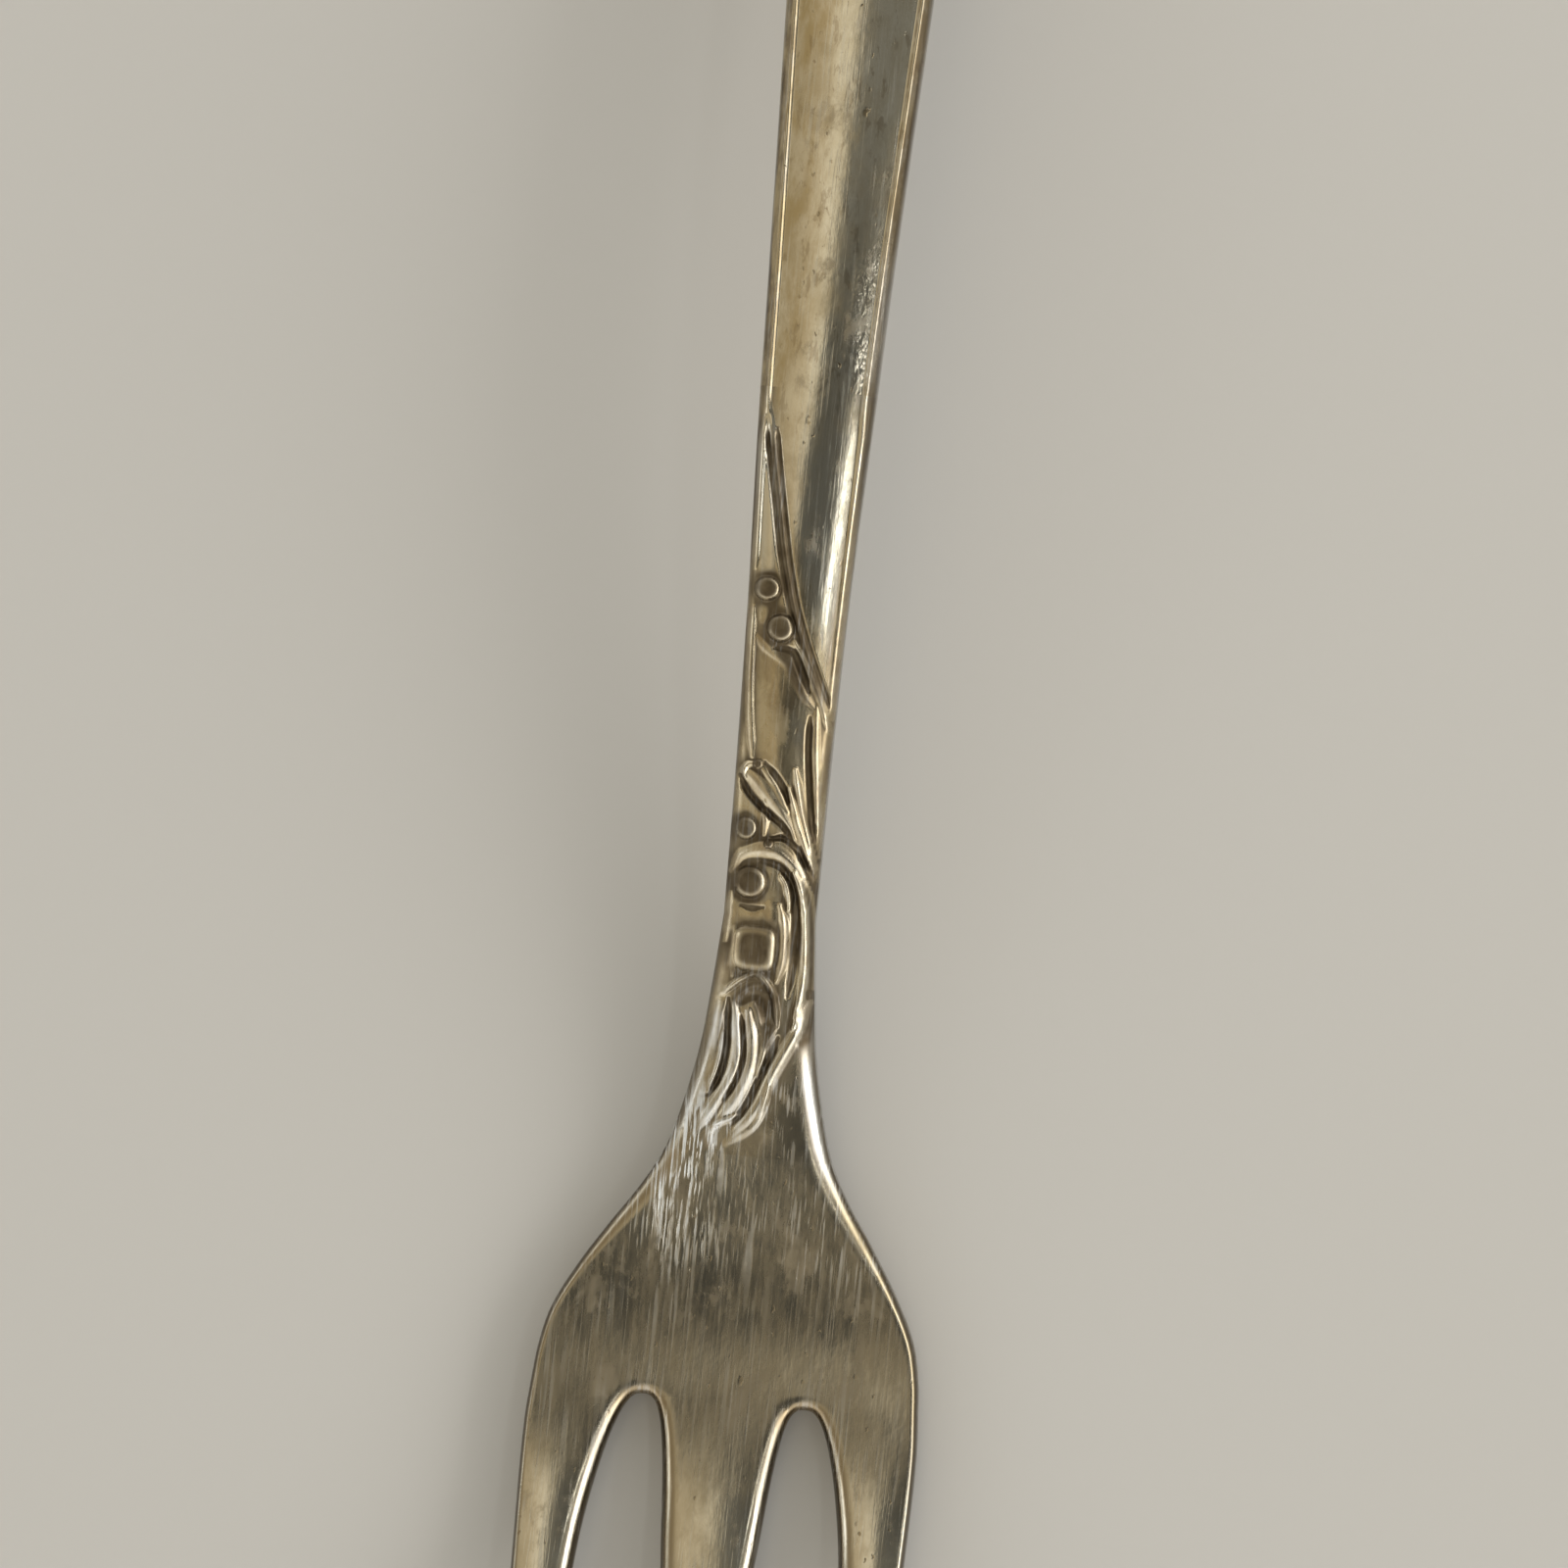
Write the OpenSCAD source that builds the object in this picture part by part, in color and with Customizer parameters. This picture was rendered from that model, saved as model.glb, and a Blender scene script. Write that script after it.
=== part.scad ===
// Oyster fork with three tines, a flared palm, an ornamented neck and a plain tapering handle.
// The real fork is one forging, so its zones are separate solids that meet face to face.
// The tines point along -Y, the handle along +Y, and the ornamented face looks up.
// Stations are distances from the tine tips, measured along Y.

/* [Overall] */
// Length from the tine tips to the end of the handle
fork_length = 149; // [138:1:164]
// Height of the underside where the handle arches highest
arch_height = 6.8; // [4:0.2:9]
// Height of the underside at the tine tips
tip_lift = 5.5; // [3:0.25:8]

/* [Head] */
// Greatest width across the three tines
head_width = 17.8; // [16.4:0.1:20]
// Length of the tines from the bottom of the slots
tine_length = 22; // [18:0.5:26]
// Width of each slot between the tine tips
slot_width = 5.75; // [5.2:0.05:6.3]
// Length over which a tine's tip rounds off
tip_round = 1.7; // [0.8:0.1:3]
// Length over which the head narrows to the waist of the neck
flare_length = 22; // [18:0.5:26]
// How far the heel that the fork rests on lies above the slots
heel_setback = 4; // [3:0.25:6]

/* [Neck] */
// Length of the plain palm between the slots and the ornament
palm_length = 11.2; // [9.5:0.1:13]
// Length of the struck ornament
ornament_length = 34.3; // [30:0.1:40]
// Width of the neck at its waist
neck_width = 4.1; // [3.4:0.1:5.2]
// Width of the neck where the plain handle starts
neck_top_width = 5.2; // [4.6:0.1:6.4]
// Length over which the ornament blends into the handle's rim and into the palm
blend_length = 2; // [1:0.25:4]
// Greatest height of the scrolls above the neck
relief_height = 0.3; // [0.1:0.02:0.6]

/* [Handle] */
// Greatest width of the handle
handle_width = 11.4; // [8.5:0.1:14]
// Length of the rounded end beyond the handle's widest place
end_length = 9; // [6:0.5:14]
// Height of the raised rim along the handle's face
rim_height = 0.14; // [0.04:0.02:0.24]
// Distance of the rim's crest from the handle's edge
rim_inset = 0.42; // [0.34:0.02:0.6]
// Distance from the rim's crest to its foot
rim_reach = 0.2; // [0.12:0.02:0.24]

/* [Thickness] */
// Thickness at the tine tips
tip_thickness = 1; // [0.8:0.05:1.4]
// Thickness of the tines at the slots
tine_thickness = 1.8; // [1.4:0.05:2.4]
// Thickness of the neck at its waist
neck_thickness = 3.1; // [2.6:0.05:3.8]
// Thickness where the plain handle starts
handle_thickness = 2.6; // [2.1:0.05:3.2]
// Thickness at the end of the handle
end_thickness = 1.7; // [1.4:0.05:2.4]

/* [Edges] */
// Width of the rounding along the upper edges
edge_inset = 0.34; // [0.15:0.01:0.4]
// Width of that rounding at the shoulders
shoulder_inset = 1; // [0.4:0.05:1.2]
// Width of that rounding along the slots
slot_inset = 0.68; // [0.4:0.02:0.8]
// Depth of the rounding along the upper edges
edge_drop = 0.7; // [0.3:0.05:0.8]
// Radius of the rounding along the lower edges
sole_edge = 0.25; // [0.1:0.01:0.3]
// How deep the resting places are worn flat
rest_depth = 0.06; // [0.03:0.01:0.12]
// How far the handle's and the neck's face falls from the middle to the edges
crown = 0.45; // [0.2:0.05:0.6]
// How far the palm is dished between its edges
dish = 0.15; // [0:0.01:0.3]
// How far a tine's face falls from its middle to its flanks
tine_crown = 0.2; // [0:0.02:0.3]
// How far the underside rises from the middle to the edges
sole_crown = 0.3; // [0.15:0.05:0.5]

/* [Hidden] */
silver = [0.66, 0.62, 0.52];

// Stations along the fork
slot_station = tine_length;
heel_station = slot_station + heel_setback;
ornament_foot = slot_station + palm_length;
waist_station = slot_station + flare_length;
ornament_head = ornament_foot + ornament_length;
widest_station = fork_length - end_length;

// Places between the slots and the waist, with the share of the flare's width left there
shoulder_shares = [
    [0, 0.985], [0.08, 0.96], [0.16, 0.9], [0.25, 0.757], [0.34, 0.577], [0.43, 0.385],
    [0.51, 0.25], [0.6, 0.165], [0.73, 0.08], [0.86, 0.037], [1, 0]
];
// Places between the tips and the slots, with the share of the head's half width there
outer_edge_shares = [[0, 0.93], [0.25, 0.95], [0.55, 0.982], [0.8, 1], [0.93, 1], [1, 0.98846]];
// Places between the waist and the ornament's head, with the share of the widening reached
neck_shares = [[0, 0], [0.3, 0.1], [0.6, 0.35], [0.85, 0.75], [1, 1]];
// Places between the ornament's head and the widest place, with the share reached
handle_shares = [[0, 0], [0.08, 0.06], [0.25, 0.22], [0.5, 0.46], [0.75, 0.76], [0.9, 0.95], [1, 1]];
// Places from the slots to the tips, with each slot's middle as a share of the half width
slot_middle_shares = [[0, 0.413], [0.15, 0.438], [0.32, 0.453], [1, 0.427]];
// How quickly a slot opens from its rounded root
slot_opening_share = 0.37;
// Share of the rounded end's ellipse that is used, short of its pointed pole
end_arc_share = 0.9976;
// Narrowest that a tine's tip or a rounded edge may get, as a share of the local width
least_tip_share = 0.22;
most_rounding_share = 0.3;
most_drop_share = 0.42;
// How much of the shoulders' wide rounding is left near the waist, and where on the ornament it ends
waist_inset_share = 0.6;
inset_end_share = 0.35;
// Where the slots' wide rounding is reached, as a share of the tines' length
wide_slot_share = 0.55;
// Length over which the outline's slant is taken, as a share of the flare
slant_share = 0.01;
// Length over which a tine's crown grows, as a share of the tines' length, and its share at the tips
crown_growth_share = 0.27;
tip_crown_share = 0.7;
// Narrowest ridge and groove that the rows and columns can hold, as shares of neck_width
least_ridge_share = 0.078;
least_groove_share = 0.05;
// How full the strokes, the rim and the bosses are across
stroke_power = 1.6;
rim_power = 2;
boss_power = 4;
// Least distance that is told apart from none, and most of the width that one rim may take
least_share = 0.004;
most_rim_share = 0.4;
// How strongly the rows crowd towards the slots' roots
root_crowding = 2.2;

// Counts of steps in the surfaces
edge_steps = 3;
sole_edge_steps = 2;
neck_rows = 130;
neck_columns = 21;
handle_rows = 26;
end_rows = 13;
panel_columns = 4;
rim_steps = 4;
palm_rows = 16;
palm_columns = 14;
tine_rows = 14;
tip_rows = 5;
tine_columns = 4;
sole_columns = 3;

// Smooth curve through [place, value] pairs
function span(pairs, x, i = 0) = i >= len(pairs) - 2 || x < pairs[i + 1].x ? i : span(pairs, x, i + 1);
function slope(pairs, i) =
    let (a = pairs[max(i - 1, 0)], b = pairs[min(i + 1, len(pairs) - 1)])
    (b.y - a.y) / (b.x - a.x);
function curve(pairs, x) =
    let (
        i = span(pairs, x),
        reach = pairs[i + 1].x - pairs[i].x,
        t = max(0, min(1, (x - pairs[i].x) / reach)),
        u = 1 - t
    )
    pairs[i].y * (1 + 2 * t) * u * u + pairs[i + 1].y * (1 + 2 * u) * t * t
        + reach * t * u * (slope(pairs, i) * u - slope(pairs, i + 1) * t);
function between(a, b, share) = a + (b - a) * share;
function ease(t) = t * t * (3 - 2 * t);

// Outline seen from above
function half_width(s) =
    s <= slot_station ? head_width / 2 * curve(outer_edge_shares, s / slot_station)
    : s <= waist_station ? between(neck_width, head_width,
        curve(shoulder_shares, (s - slot_station) / flare_length)) / 2
    : s <= ornament_head ? between(neck_width, neck_top_width,
        curve(neck_shares, (s - waist_station) / (ornament_head - waist_station))) / 2
    : s <= widest_station ? between(neck_top_width, handle_width,
        curve(handle_shares, (s - ornament_head) / (widest_station - ornament_head))) / 2
    : handle_width / 2 * sqrt(1 - pow(end_arc_share * (s - widest_station) / end_length, 2));
function slot_middle(s) = head_width / 2 * curve(slot_middle_shares, 1 - s / slot_station);
function slot_half_width(s) = slot_width / 2 * pow(1 - s / slot_station, slot_opening_share);

// Side view: the underside, and the thickness above it
function sole_line(s) =
    (s <= heel_station ? tip_lift * pow(1 - s / heel_station, 2)
    : s <= ornament_head ? arch_height * ease((s - heel_station) / (ornament_head - heel_station))
    : arch_height * ease((fork_length - s) / (fork_length - ornament_head))) - rest_depth;
thickness_line = [
    [0, tip_thickness], [slot_station, tine_thickness], [heel_station, tine_thickness],
    [waist_station, neck_thickness], [ornament_head, handle_thickness], [fork_length, end_thickness]
];
function thickness(s) = curve(thickness_line, s);
crown_line = [
    [0, 0], [slot_station, -dish], [heel_station, -dish], [waist_station, crown],
    [ornament_head, crown], [fork_length, crown]
];

// Width of the upper edges' rounding: along the outline, and along the slots
inset_line = [
    [0, edge_inset], [heel_station, edge_inset], [ornament_foot, shoulder_inset],
    [waist_station - 2 * blend_length, between(edge_inset, shoulder_inset, waist_inset_share)],
    [between(ornament_head, ornament_foot, inset_end_share), edge_inset], [fork_length, edge_inset]
];
slot_inset_line = [
    [0, edge_inset], [2 * tip_round, edge_inset],
    [slot_station * wide_slot_share, slot_inset], [slot_station, slot_inset]
];
// Length of the outline for one unit along the fork, where the head widens
function slant(s) =
    let (reach = flare_length * slant_share)
    s > waist_station ? 1 : norm([1, (half_width(s + reach) - half_width(s)) / reach]);

// Distance from a point of the handle's face to its edge, which also holds round the end
function edge_distance(x, s) =
    let (
        half = handle_width / 2,
        along = max(0, s - widest_station) / end_length,
        across = abs(x) / half,
        rho = max(norm([across, along]), least_share)
    )
    s <= widest_station ? half_width(s) - abs(x) : (1 - rho) * between(half, end_length, along / rho);
function bell(t, power) = abs(t) < 1 ? pow(1 - t * t, power) : 0;
function rim(x, s) = rim_height * bell((edge_distance(x, s) - rim_inset) / rim_reach, rim_power);

// Struck ornament. Places run across from the left edge (-1) to the right (1) and along from the
// ornament's head (0) to its foot (1). A stroke is [height share, half width share, points], with the
// height a share of relief_height and the half width a share of neck_width.
// Broad leaves and bands, which swell under the finer scrolls
swell_shares = [
    [0.45, 0.13, [[-0.82, 0.03], [-0.78, 0.1], [-0.72, 0.17], [-0.66, 0.24], [-0.62, 0.3]]],
    [0.35, 0.26, [[-0.5, 0.34], [-0.36, 0.39], [-0.22, 0.44], [-0.06, 0.5], [0.2, 0.55], [0.5, 0.6]]],
    [0.65, 0.13, [[-0.78, 0.497], [-0.55, 0.506], [-0.25, 0.524], [0.05, 0.542], [0.3, 0.565], [0.5, 0.6]]],
    [0.7, 0.12, [[-0.86, 0.628], [-0.74, 0.608], [-0.45, 0.598], [-0.05, 0.596], [0.32, 0.605],
        [0.6, 0.622], [0.8, 0.648], [0.9, 0.68], [0.93, 0.72], [0.93, 0.77]]],
    [0.35, 0.2, [[0.1, 0.67], [0.14, 0.72], [0.12, 0.77]]],
    [0.75, 0.095, [[0.92, 0.79], [0.78, 0.818], [0.58, 0.845], [0.4, 0.87], [0.24, 0.895], [0.1, 0.93],
        [-0.06, 0.955], [-0.26, 0.985]]],
    [0.55, 0.085, [[-0.5, 0.8], [-0.42, 0.83], [-0.34, 0.86], [-0.34, 0.885], [-0.46, 0.915],
        [-0.6, 0.945], [-0.7, 0.975]]],
    [0.5, 0.085, [[-0.22, 0.81], [-0.12, 0.84], [-0.08, 0.87], [-0.14, 0.9], [-0.28, 0.93], [-0.46, 0.96]]]
];
// Ridges: the borders, the scrolls, the flames and the sprays
ridge_shares = [
    [0.4, 0.041, [[-0.86, 0], [-0.73, 0.053], [-0.6, 0.11], [-0.46, 0.162], [-0.33, 0.21], [-0.2, 0.245],
        [-0.06, 0.279], [0.06, 0.3], [0.3, 0.338], [0.55, 0.372], [0.8, 0.41], [0.95, 0.44]]],
    [0.4, 0.054, [[-0.87, 0.04], [-0.88, 0.1], [-0.87, 0.235]]],
    [0.4, 0.061, [[-0.86, 0.285], [-0.84, 0.36], [-0.77, 0.42], [-0.7, 0.45], [-0.64, 0.478]]],
    [0.3, 0.054, [[0.86, 0], [0.88, 0.1], [0.9, 0.2], [0.92, 0.3], [0.95, 0.42]]],
    [0.45, 0.061, [[-0.8, 0.318], [-0.6, 0.334], [-0.3, 0.346], [-0.02, 0.354], [0.16, 0.37],
        [0.32, 0.392], [0.48, 0.403], [0.6, 0.41]]],
    [0.35, 0.047, [[0.05, 0.325], [0.24, 0.345], [0.46, 0.37], [0.7, 0.4], [0.9, 0.436]]],
    [0.8, 0.06, [[0.62, 0.405], [0.66, 0.44], [0.73, 0.485], [0.83, 0.525], [0.92, 0.56], [0.96, 0.6]]],
    [0.6, 0.054, [[0.3, 0.49], [0.42, 0.52], [0.52, 0.545], [0.66, 0.57], [0.8, 0.595], [0.92, 0.615]]],
    [0.7, 0.061, [[0.2, 0.515], [0.36, 0.54], [0.48, 0.56], [0.64, 0.585], [0.8, 0.61], [0.92, 0.632]]],
    [0.5, 0.047, [[-0.44, 0.489], [-0.6, 0.487], [-0.76, 0.489], [-0.82, 0.499], [-0.74, 0.508]]],
    [0.3, 0.047, [[-0.4, 0.492], [-0.16, 0.508], [0.06, 0.526], [0.24, 0.545]]],
    [0.45, 0.054, [[-0.3, 0.535], [-0.24, 0.555], [-0.24, 0.578]]],
    [0.8, 0.05, [[0.48, 0.624], [0.64, 0.645], [0.76, 0.675], [0.8, 0.71], [0.79, 0.74], [0.72, 0.775],
        [0.6, 0.815]]],
    [0.8, 0.075, [[0.22, 0.63], [0.34, 0.638], [0.44, 0.655], [0.44, 0.672]]],
    [0.6, 0.061, [[0.24, 0.667], [0.34, 0.685], [0.39, 0.714], [0.37, 0.743], [0.27, 0.768]]],
    [0.35, 0.054, [[-0.7, 0.7], [-0.64, 0.735], [-0.6, 0.765]]],
    [0.35, 0.061, [[-0.86, 0.655], [-0.85, 0.69], [-0.86, 0.72]]],
    [0.75, 0.05, [[-0.74, 0.79], [-0.55, 0.774], [-0.3, 0.762], [-0.12, 0.757], [0.02, 0.765],
        [0.2, 0.778], [0.28, 0.795], [0.33, 0.825]]],
    [0.5, 0.061, [[-0.76, 0.8], [-0.76, 0.84], [-0.8, 0.88], [-0.84, 0.92], [-0.88, 0.97]]],
    [0.4, 0.047, [[-0.62, 0.84], [-0.6, 0.88], [-0.66, 0.92]]],
    [0.45, 0.047, [[0.24, 0.905], [0.2, 0.93], [0.06, 0.962], [-0.22, 0.984]]],
    [0.45, 0.047, [[-0.16, 0.946], [-0.36, 0.956], [-0.54, 0.968], [-0.5, 0.985], [-0.44, 1]]],
    [0.4, 0.047, [[0.3, 0.83], [0.14, 0.85], [0.1, 0.87], [0.06, 0.895]]]
];
// Grooves that part the leaves
groove_shares = [
    [0.45, 0.036, [[-0.63, 0.053], [-0.5, 0.11], [-0.36, 0.162], [-0.23, 0.21], [-0.1, 0.245],
        [0.04, 0.279], [0.16, 0.3], [0.4, 0.338], [0.65, 0.372], [0.88, 0.405]]],
    [0.5, 0.036, [[-0.82, 0.053], [-0.7, 0.11], [-0.56, 0.162], [-0.43, 0.21], [-0.3, 0.245],
        [-0.16, 0.279], [-0.04, 0.3], [0.16, 0.332]]],
    [0.56, 0.057, [[-0.36, 0.335], [-0.1, 0.336], [0.08, 0.34], [0.26, 0.365], [0.42, 0.388]]],
    [0.75, 0.052, [[-0.86, 0.503], [-0.72, 0.521], [-0.45, 0.538], [-0.15, 0.551], [0.15, 0.563],
        [0.4, 0.585]]],
    [0.5, 0.052, [[-0.36, 0.484], [-0.14, 0.497], [0.08, 0.513], [0.22, 0.532]]],
    [0.56, 0.046, [[0.5, 0.42], [0.52, 0.46], [0.6, 0.5], [0.7, 0.54], [0.84, 0.58]]],
    [0.75, 0.052, [[-0.1, 0.582], [0.2, 0.578], [0.42, 0.588], [0.62, 0.602], [0.82, 0.622], [0.95, 0.645]]],
    [0.75, 0.057, [[-0.28, 0.612], [0.06, 0.614], [0.3, 0.622], [0.48, 0.642], [0.58, 0.67], [0.6, 0.71],
        [0.58, 0.75], [0.5, 0.785]]],
    [0.44, 0.046, [[0.66, 0.63], [0.84, 0.66], [0.9, 0.7], [0.9, 0.75], [0.84, 0.79]]],
    [1, 0.149, [[-0.36, 0.797], [-0.14, 0.785], [0.06, 0.79], [0.14, 0.82]]],
    [0.56, 0.052, [[-0.62, 0.795], [-0.56, 0.83], [-0.52, 0.86], [-0.54, 0.895], [-0.66, 0.925]]],
    [0.5, 0.046, [[-0.34, 0.815], [-0.25, 0.845], [-0.2, 0.87], [-0.26, 0.9], [-0.42, 0.93]]],
    [0.5, 0.052, [[0.36, 0.84], [0.22, 0.87], [0.06, 0.9], [-0.06, 0.93], [-0.24, 0.96]]],
    [0.44, 0.046, [[-0.62, 0.672], [-0.4, 0.676], [-0.12, 0.672]]]
];
// Bosses as [height share, across, along, half width share, half length share, squareness]
boss_shares = [
    [0.9, -0.6, 0.26, 0.14, 0.13, 2],
    [1.1, -0.27, 0.3095, 0.15, 0.15, 2],
    [0.4, -0.5, 0.487, 0.05, 0.05, 2],
    [0.9, -0.64, 0.571, 0.12, 0.125, 2],
    [0.35, -0.12, 0.588, 0.05, 0.05, 2],
    [1.1, -0.46, 0.6405, 0.18, 0.175, 2],
    [0.9, -0.23, 0.727, 0.235, 0.25, 4]
];

// Strokes and bosses at their real size, as [height, half width, points] and the like
function place(across, along) =
    let (s = between(ornament_head, ornament_foot, along))
    [across * half_width(s), s];
function strokes(shares, narrowest_share) = [
    for (stroke = shares)
        [
            stroke[0] * relief_height,
            max(stroke[1], narrowest_share) * neck_width,
            [for (q = stroke[2]) place(q.x, q.y)]
        ]
];
swells = strokes(swell_shares, least_ridge_share);
ridges = strokes(ridge_shares, least_ridge_share);
grooves = strokes(groove_shares, least_groove_share);
bosses = [
    for (b = boss_shares) [b[0] * relief_height, place(b[1], b[2]), b[3] * neck_width, b[4] * neck_width, b[5]]
];

// Strokes that pass near one station
function passing(list, s) = [
    for (stroke = list)
        let (places = [for (q = stroke[2]) q.y])
        if (s > min(places) - stroke[1] && s < max(places) + stroke[1]) stroke
];
// Distance from a point to a chain of points
function to_segment(p, a, d) = norm(p - a - d * max(0, min(1, (p - a) * d / (d * d))));
function to_chain(p, chain) =
    min([for (i = [0 : len(chain) - 2]) to_segment(p, chain[i], chain[i + 1] - chain[i])]);
function stroke_height(p, list) =
    max([0, for (stroke = list) stroke[0] * bell(to_chain(p, stroke[2]) / stroke[1], stroke_power)]);
function boss_height(p) =
    max([
        0,
        for (b = bosses)
            let (d = p - b[1], reach = pow(abs(d.x) / b[2], b[4]) + pow(abs(d.y) / b[3], b[4]))
            if (reach < 1) b[0] * sqrt(1 - pow(reach, boss_power / b[4]))
    ]);
// Strokes near one station, gathered once for each row: [swells, ridges, grooves]
function row_strokes(s) = [passing(swells, s), passing(ridges, s), passing(grooves, s)];
function relief(x, s, near) =
    let (p = [x, s])
    stroke_height(p, near[0]) + max(stroke_height(p, near[1]), boss_height(p)) - stroke_height(p, near[2]);
// The relief grows out of the handle's rim at its head and dies away into the palm at its foot
function blended_relief(x, s, near) =
    between(rim(x, s), relief(x, s, near), ease(min(1, (ornament_head - s) / blend_length)))
        * ease(min(1, (s - ornament_foot) / blend_length));

// Upper face and underside at any point, before their edges are rounded
function plain_face(x, s) =
    sole_line(s) + thickness(s) - curve(crown_line, s) * pow(x / half_width(s), 2);
function sole(x, s) = sole_line(s) + sole_crown * pow(x / half_width(s), 2);

// Fall of a rounded edge at some distance in from it
function edge_fall(distance, inset, drop) =
    distance >= inset ? 0 : drop * (1 - sqrt(1 - pow(1 - max(0, distance) / inset, 2)));
// Distance to the rounded end of a tine or of the handle
function end_distance(x, s, kind) =
    kind == "tine" ? s : kind == "handle" ? edge_distance(x, s) : fork_length;
// Places across one section from left to right, crowded where its edges are rounded
function places_across(left, right, left_inset, right_inset, steps, between_shares) =
    let (edge_shares = [for (i = [0 : steps]) 1 - cos(90 * i / steps)])
    [
        for (share = edge_shares) left + left_inset * share,
        for (share = between_shares) between(left + left_inset, right - right_inset, share),
        for (i = [steps : -1 : 0]) right - right_inset * edge_shares[i]
    ];
function even_shares(count) = [for (i = [1 : count - 1]) i / count];

// Height added to the face by the ornament or the rim
function lift(x, s, kind, near) =
    kind == "neck" ? blended_relief(x, s, near) : kind == "handle" ? rim(x, s) : 0;

// How far a tine's face has fallen towards its flanks
function tip_share(s) = s < tip_round ? max(least_tip_share, sqrt(1 - pow(1 - s / tip_round, 2))) : 1;
function flank_fall(x, s, left, right) =
    let (across = (2 * x - left - right) / (right - left) * tip_share(s))
    tine_crown * ease(min(1, (slot_station - s) / (tine_length * crown_growth_share)))
        * between(tip_crown_share, 1, s / slot_station) * across * across;

// Rounding of one edge, as [width above, depth above, width and depth below]
function rounding(s, width, inset, grown_share = 1) = [
    min(inset, width * most_rounding_share) * grown_share,
    min(edge_drop, thickness(s) * most_drop_share, width * most_drop_share) * grown_share,
    min(sole_edge, width * most_rounding_share) * grown_share
];
function outer_rounding(s, width) = rounding(s, width, curve(inset_line, s) * slant(s));
// Rounding grows from nothing at the slots' roots, where the palm carries on
function slot_rounding(s, width) =
    rounding(s, width, curve(slot_inset_line, s), min(1, slot_half_width(s) / slot_inset));

// One section of the fork at station s, as [upper points, lower points], both from left to right.
// kind is "neck" for the ornament, "handle" for the rim, "tine" for a rounded tip, or "palm".
function section(s, left, right, shares, kind, left_edge, right_edge) =
    let (
        end_drop = min(edge_drop, thickness(s) * most_drop_share),
        near = kind == "neck" ? row_strokes(s) : [],
        // The neck keeps its columns close together for the ornament
        left_inset = kind == "neck" ? edge_inset : left_edge[0],
        right_inset = kind == "neck" ? edge_inset : right_edge[0],
        sole_shares = even_shares(sole_columns),
        y = s - fork_length / 2
    )
    [
        [for (x = places_across(left, right, left_inset, right_inset, edge_steps, shares))
            let (
                fall = max(
                    edge_fall(x - left, left_edge[0], left_edge[1]),
                    edge_fall(right - x, right_edge[0], right_edge[1]),
                    edge_fall(end_distance(x, s, kind), edge_inset, end_drop)
                ),
                raised = lift(x, s, kind, near) * (1 - fall / edge_drop),
                lowered = kind == "tine" ? flank_fall(x, s, left, right) : 0
            )
            [x, y, plain_face(x, s) + raised - lowered - fall]],
        [for (x = places_across(left, right, left_edge[2], right_edge[2], sole_edge_steps, sole_shares))
            let (
                rise = max(
                    edge_fall(x - left, left_edge[2], left_edge[2]),
                    edge_fall(right - x, right_edge[2], right_edge[2]),
                    edge_fall(end_distance(x, s, kind), sole_edge, sole_edge)
                )
            )
            [x, y, sole(x, s) + rise]]
    ];

// Closed solid through a row of sections, all with the same counts of points
module skin(sections) {
    n = len(sections[0][0]) - 1;
    m = len(sections[0][1]) - 1;
    ring = n + m + 2;
    last = len(sections) - 1;
    function top(r, i) = r * ring + i;
    function bottom(r, j) = r * ring + n + 1 + j;
    function partner(i) = floor((i + 0.5) * m / n);
    function turn(j) = ceil((j + 1) * n / m - 0.5);
    function cap(r) = [
        for (i = [0 : n - 1]) [top(r, i), top(r, i + 1), bottom(r, partner(i))],
        for (j = [0 : m - 1]) [bottom(r, j), top(r, turn(j)), bottom(r, j + 1)]
    ];
    function flip(face) = [face[2], face[1], face[0]];
    // Each upper square is split along its more level diagonal, which keeps slanting ridges crisp
    function height(r, i) = sections[r][0][i].z;
    function is_rising(r, i) =
        abs(height(r, i) - height(r + 1, i + 1)) > abs(height(r + 1, i) - height(r, i + 1));
    function upper_pair(r, i) = is_rising(r, i)
        ? [[top(r, i), top(r + 1, i), top(r, i + 1)], [top(r, i + 1), top(r + 1, i), top(r + 1, i + 1)]]
        : [[top(r, i), top(r + 1, i), top(r + 1, i + 1)], [top(r, i), top(r + 1, i + 1), top(r, i + 1)]];
    polyhedron(
        points = [for (row = sections) each concat(row[0], row[1])],
        faces = [
            for (r = [0 : last - 1]) each [
                for (i = [0 : n - 1]) each upper_pair(r, i),
                for (j = [0 : m - 1]) each [
                    [bottom(r, j), bottom(r, j + 1), bottom(r + 1, j + 1)],
                    [bottom(r, j), bottom(r + 1, j + 1), bottom(r + 1, j)]
                ],
                [top(r, 0), bottom(r, 0), bottom(r + 1, 0)],
                [top(r, 0), bottom(r + 1, 0), top(r + 1, 0)],
                [top(r, n), top(r + 1, n), bottom(r + 1, m)],
                [top(r, n), bottom(r + 1, m), bottom(r, m)]
            ],
            each cap(0),
            for (face = cap(last)) flip(face)
        ]
    );
}

// Space under the table top, which wears the resting places flat
module below_table() {
    translate([-head_width, -fork_length, -arch_height])
        cube([2 * head_width, 2 * fork_length, arch_height]);
}

// Stations of each zone's sections
function even_stations(from, to, count) = [for (i = [0 : count]) between(from, to, i / count)];
end_stations = [for (i = [1 : end_rows]) widest_station + end_length * sin(90 * i / end_rows)];
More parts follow.
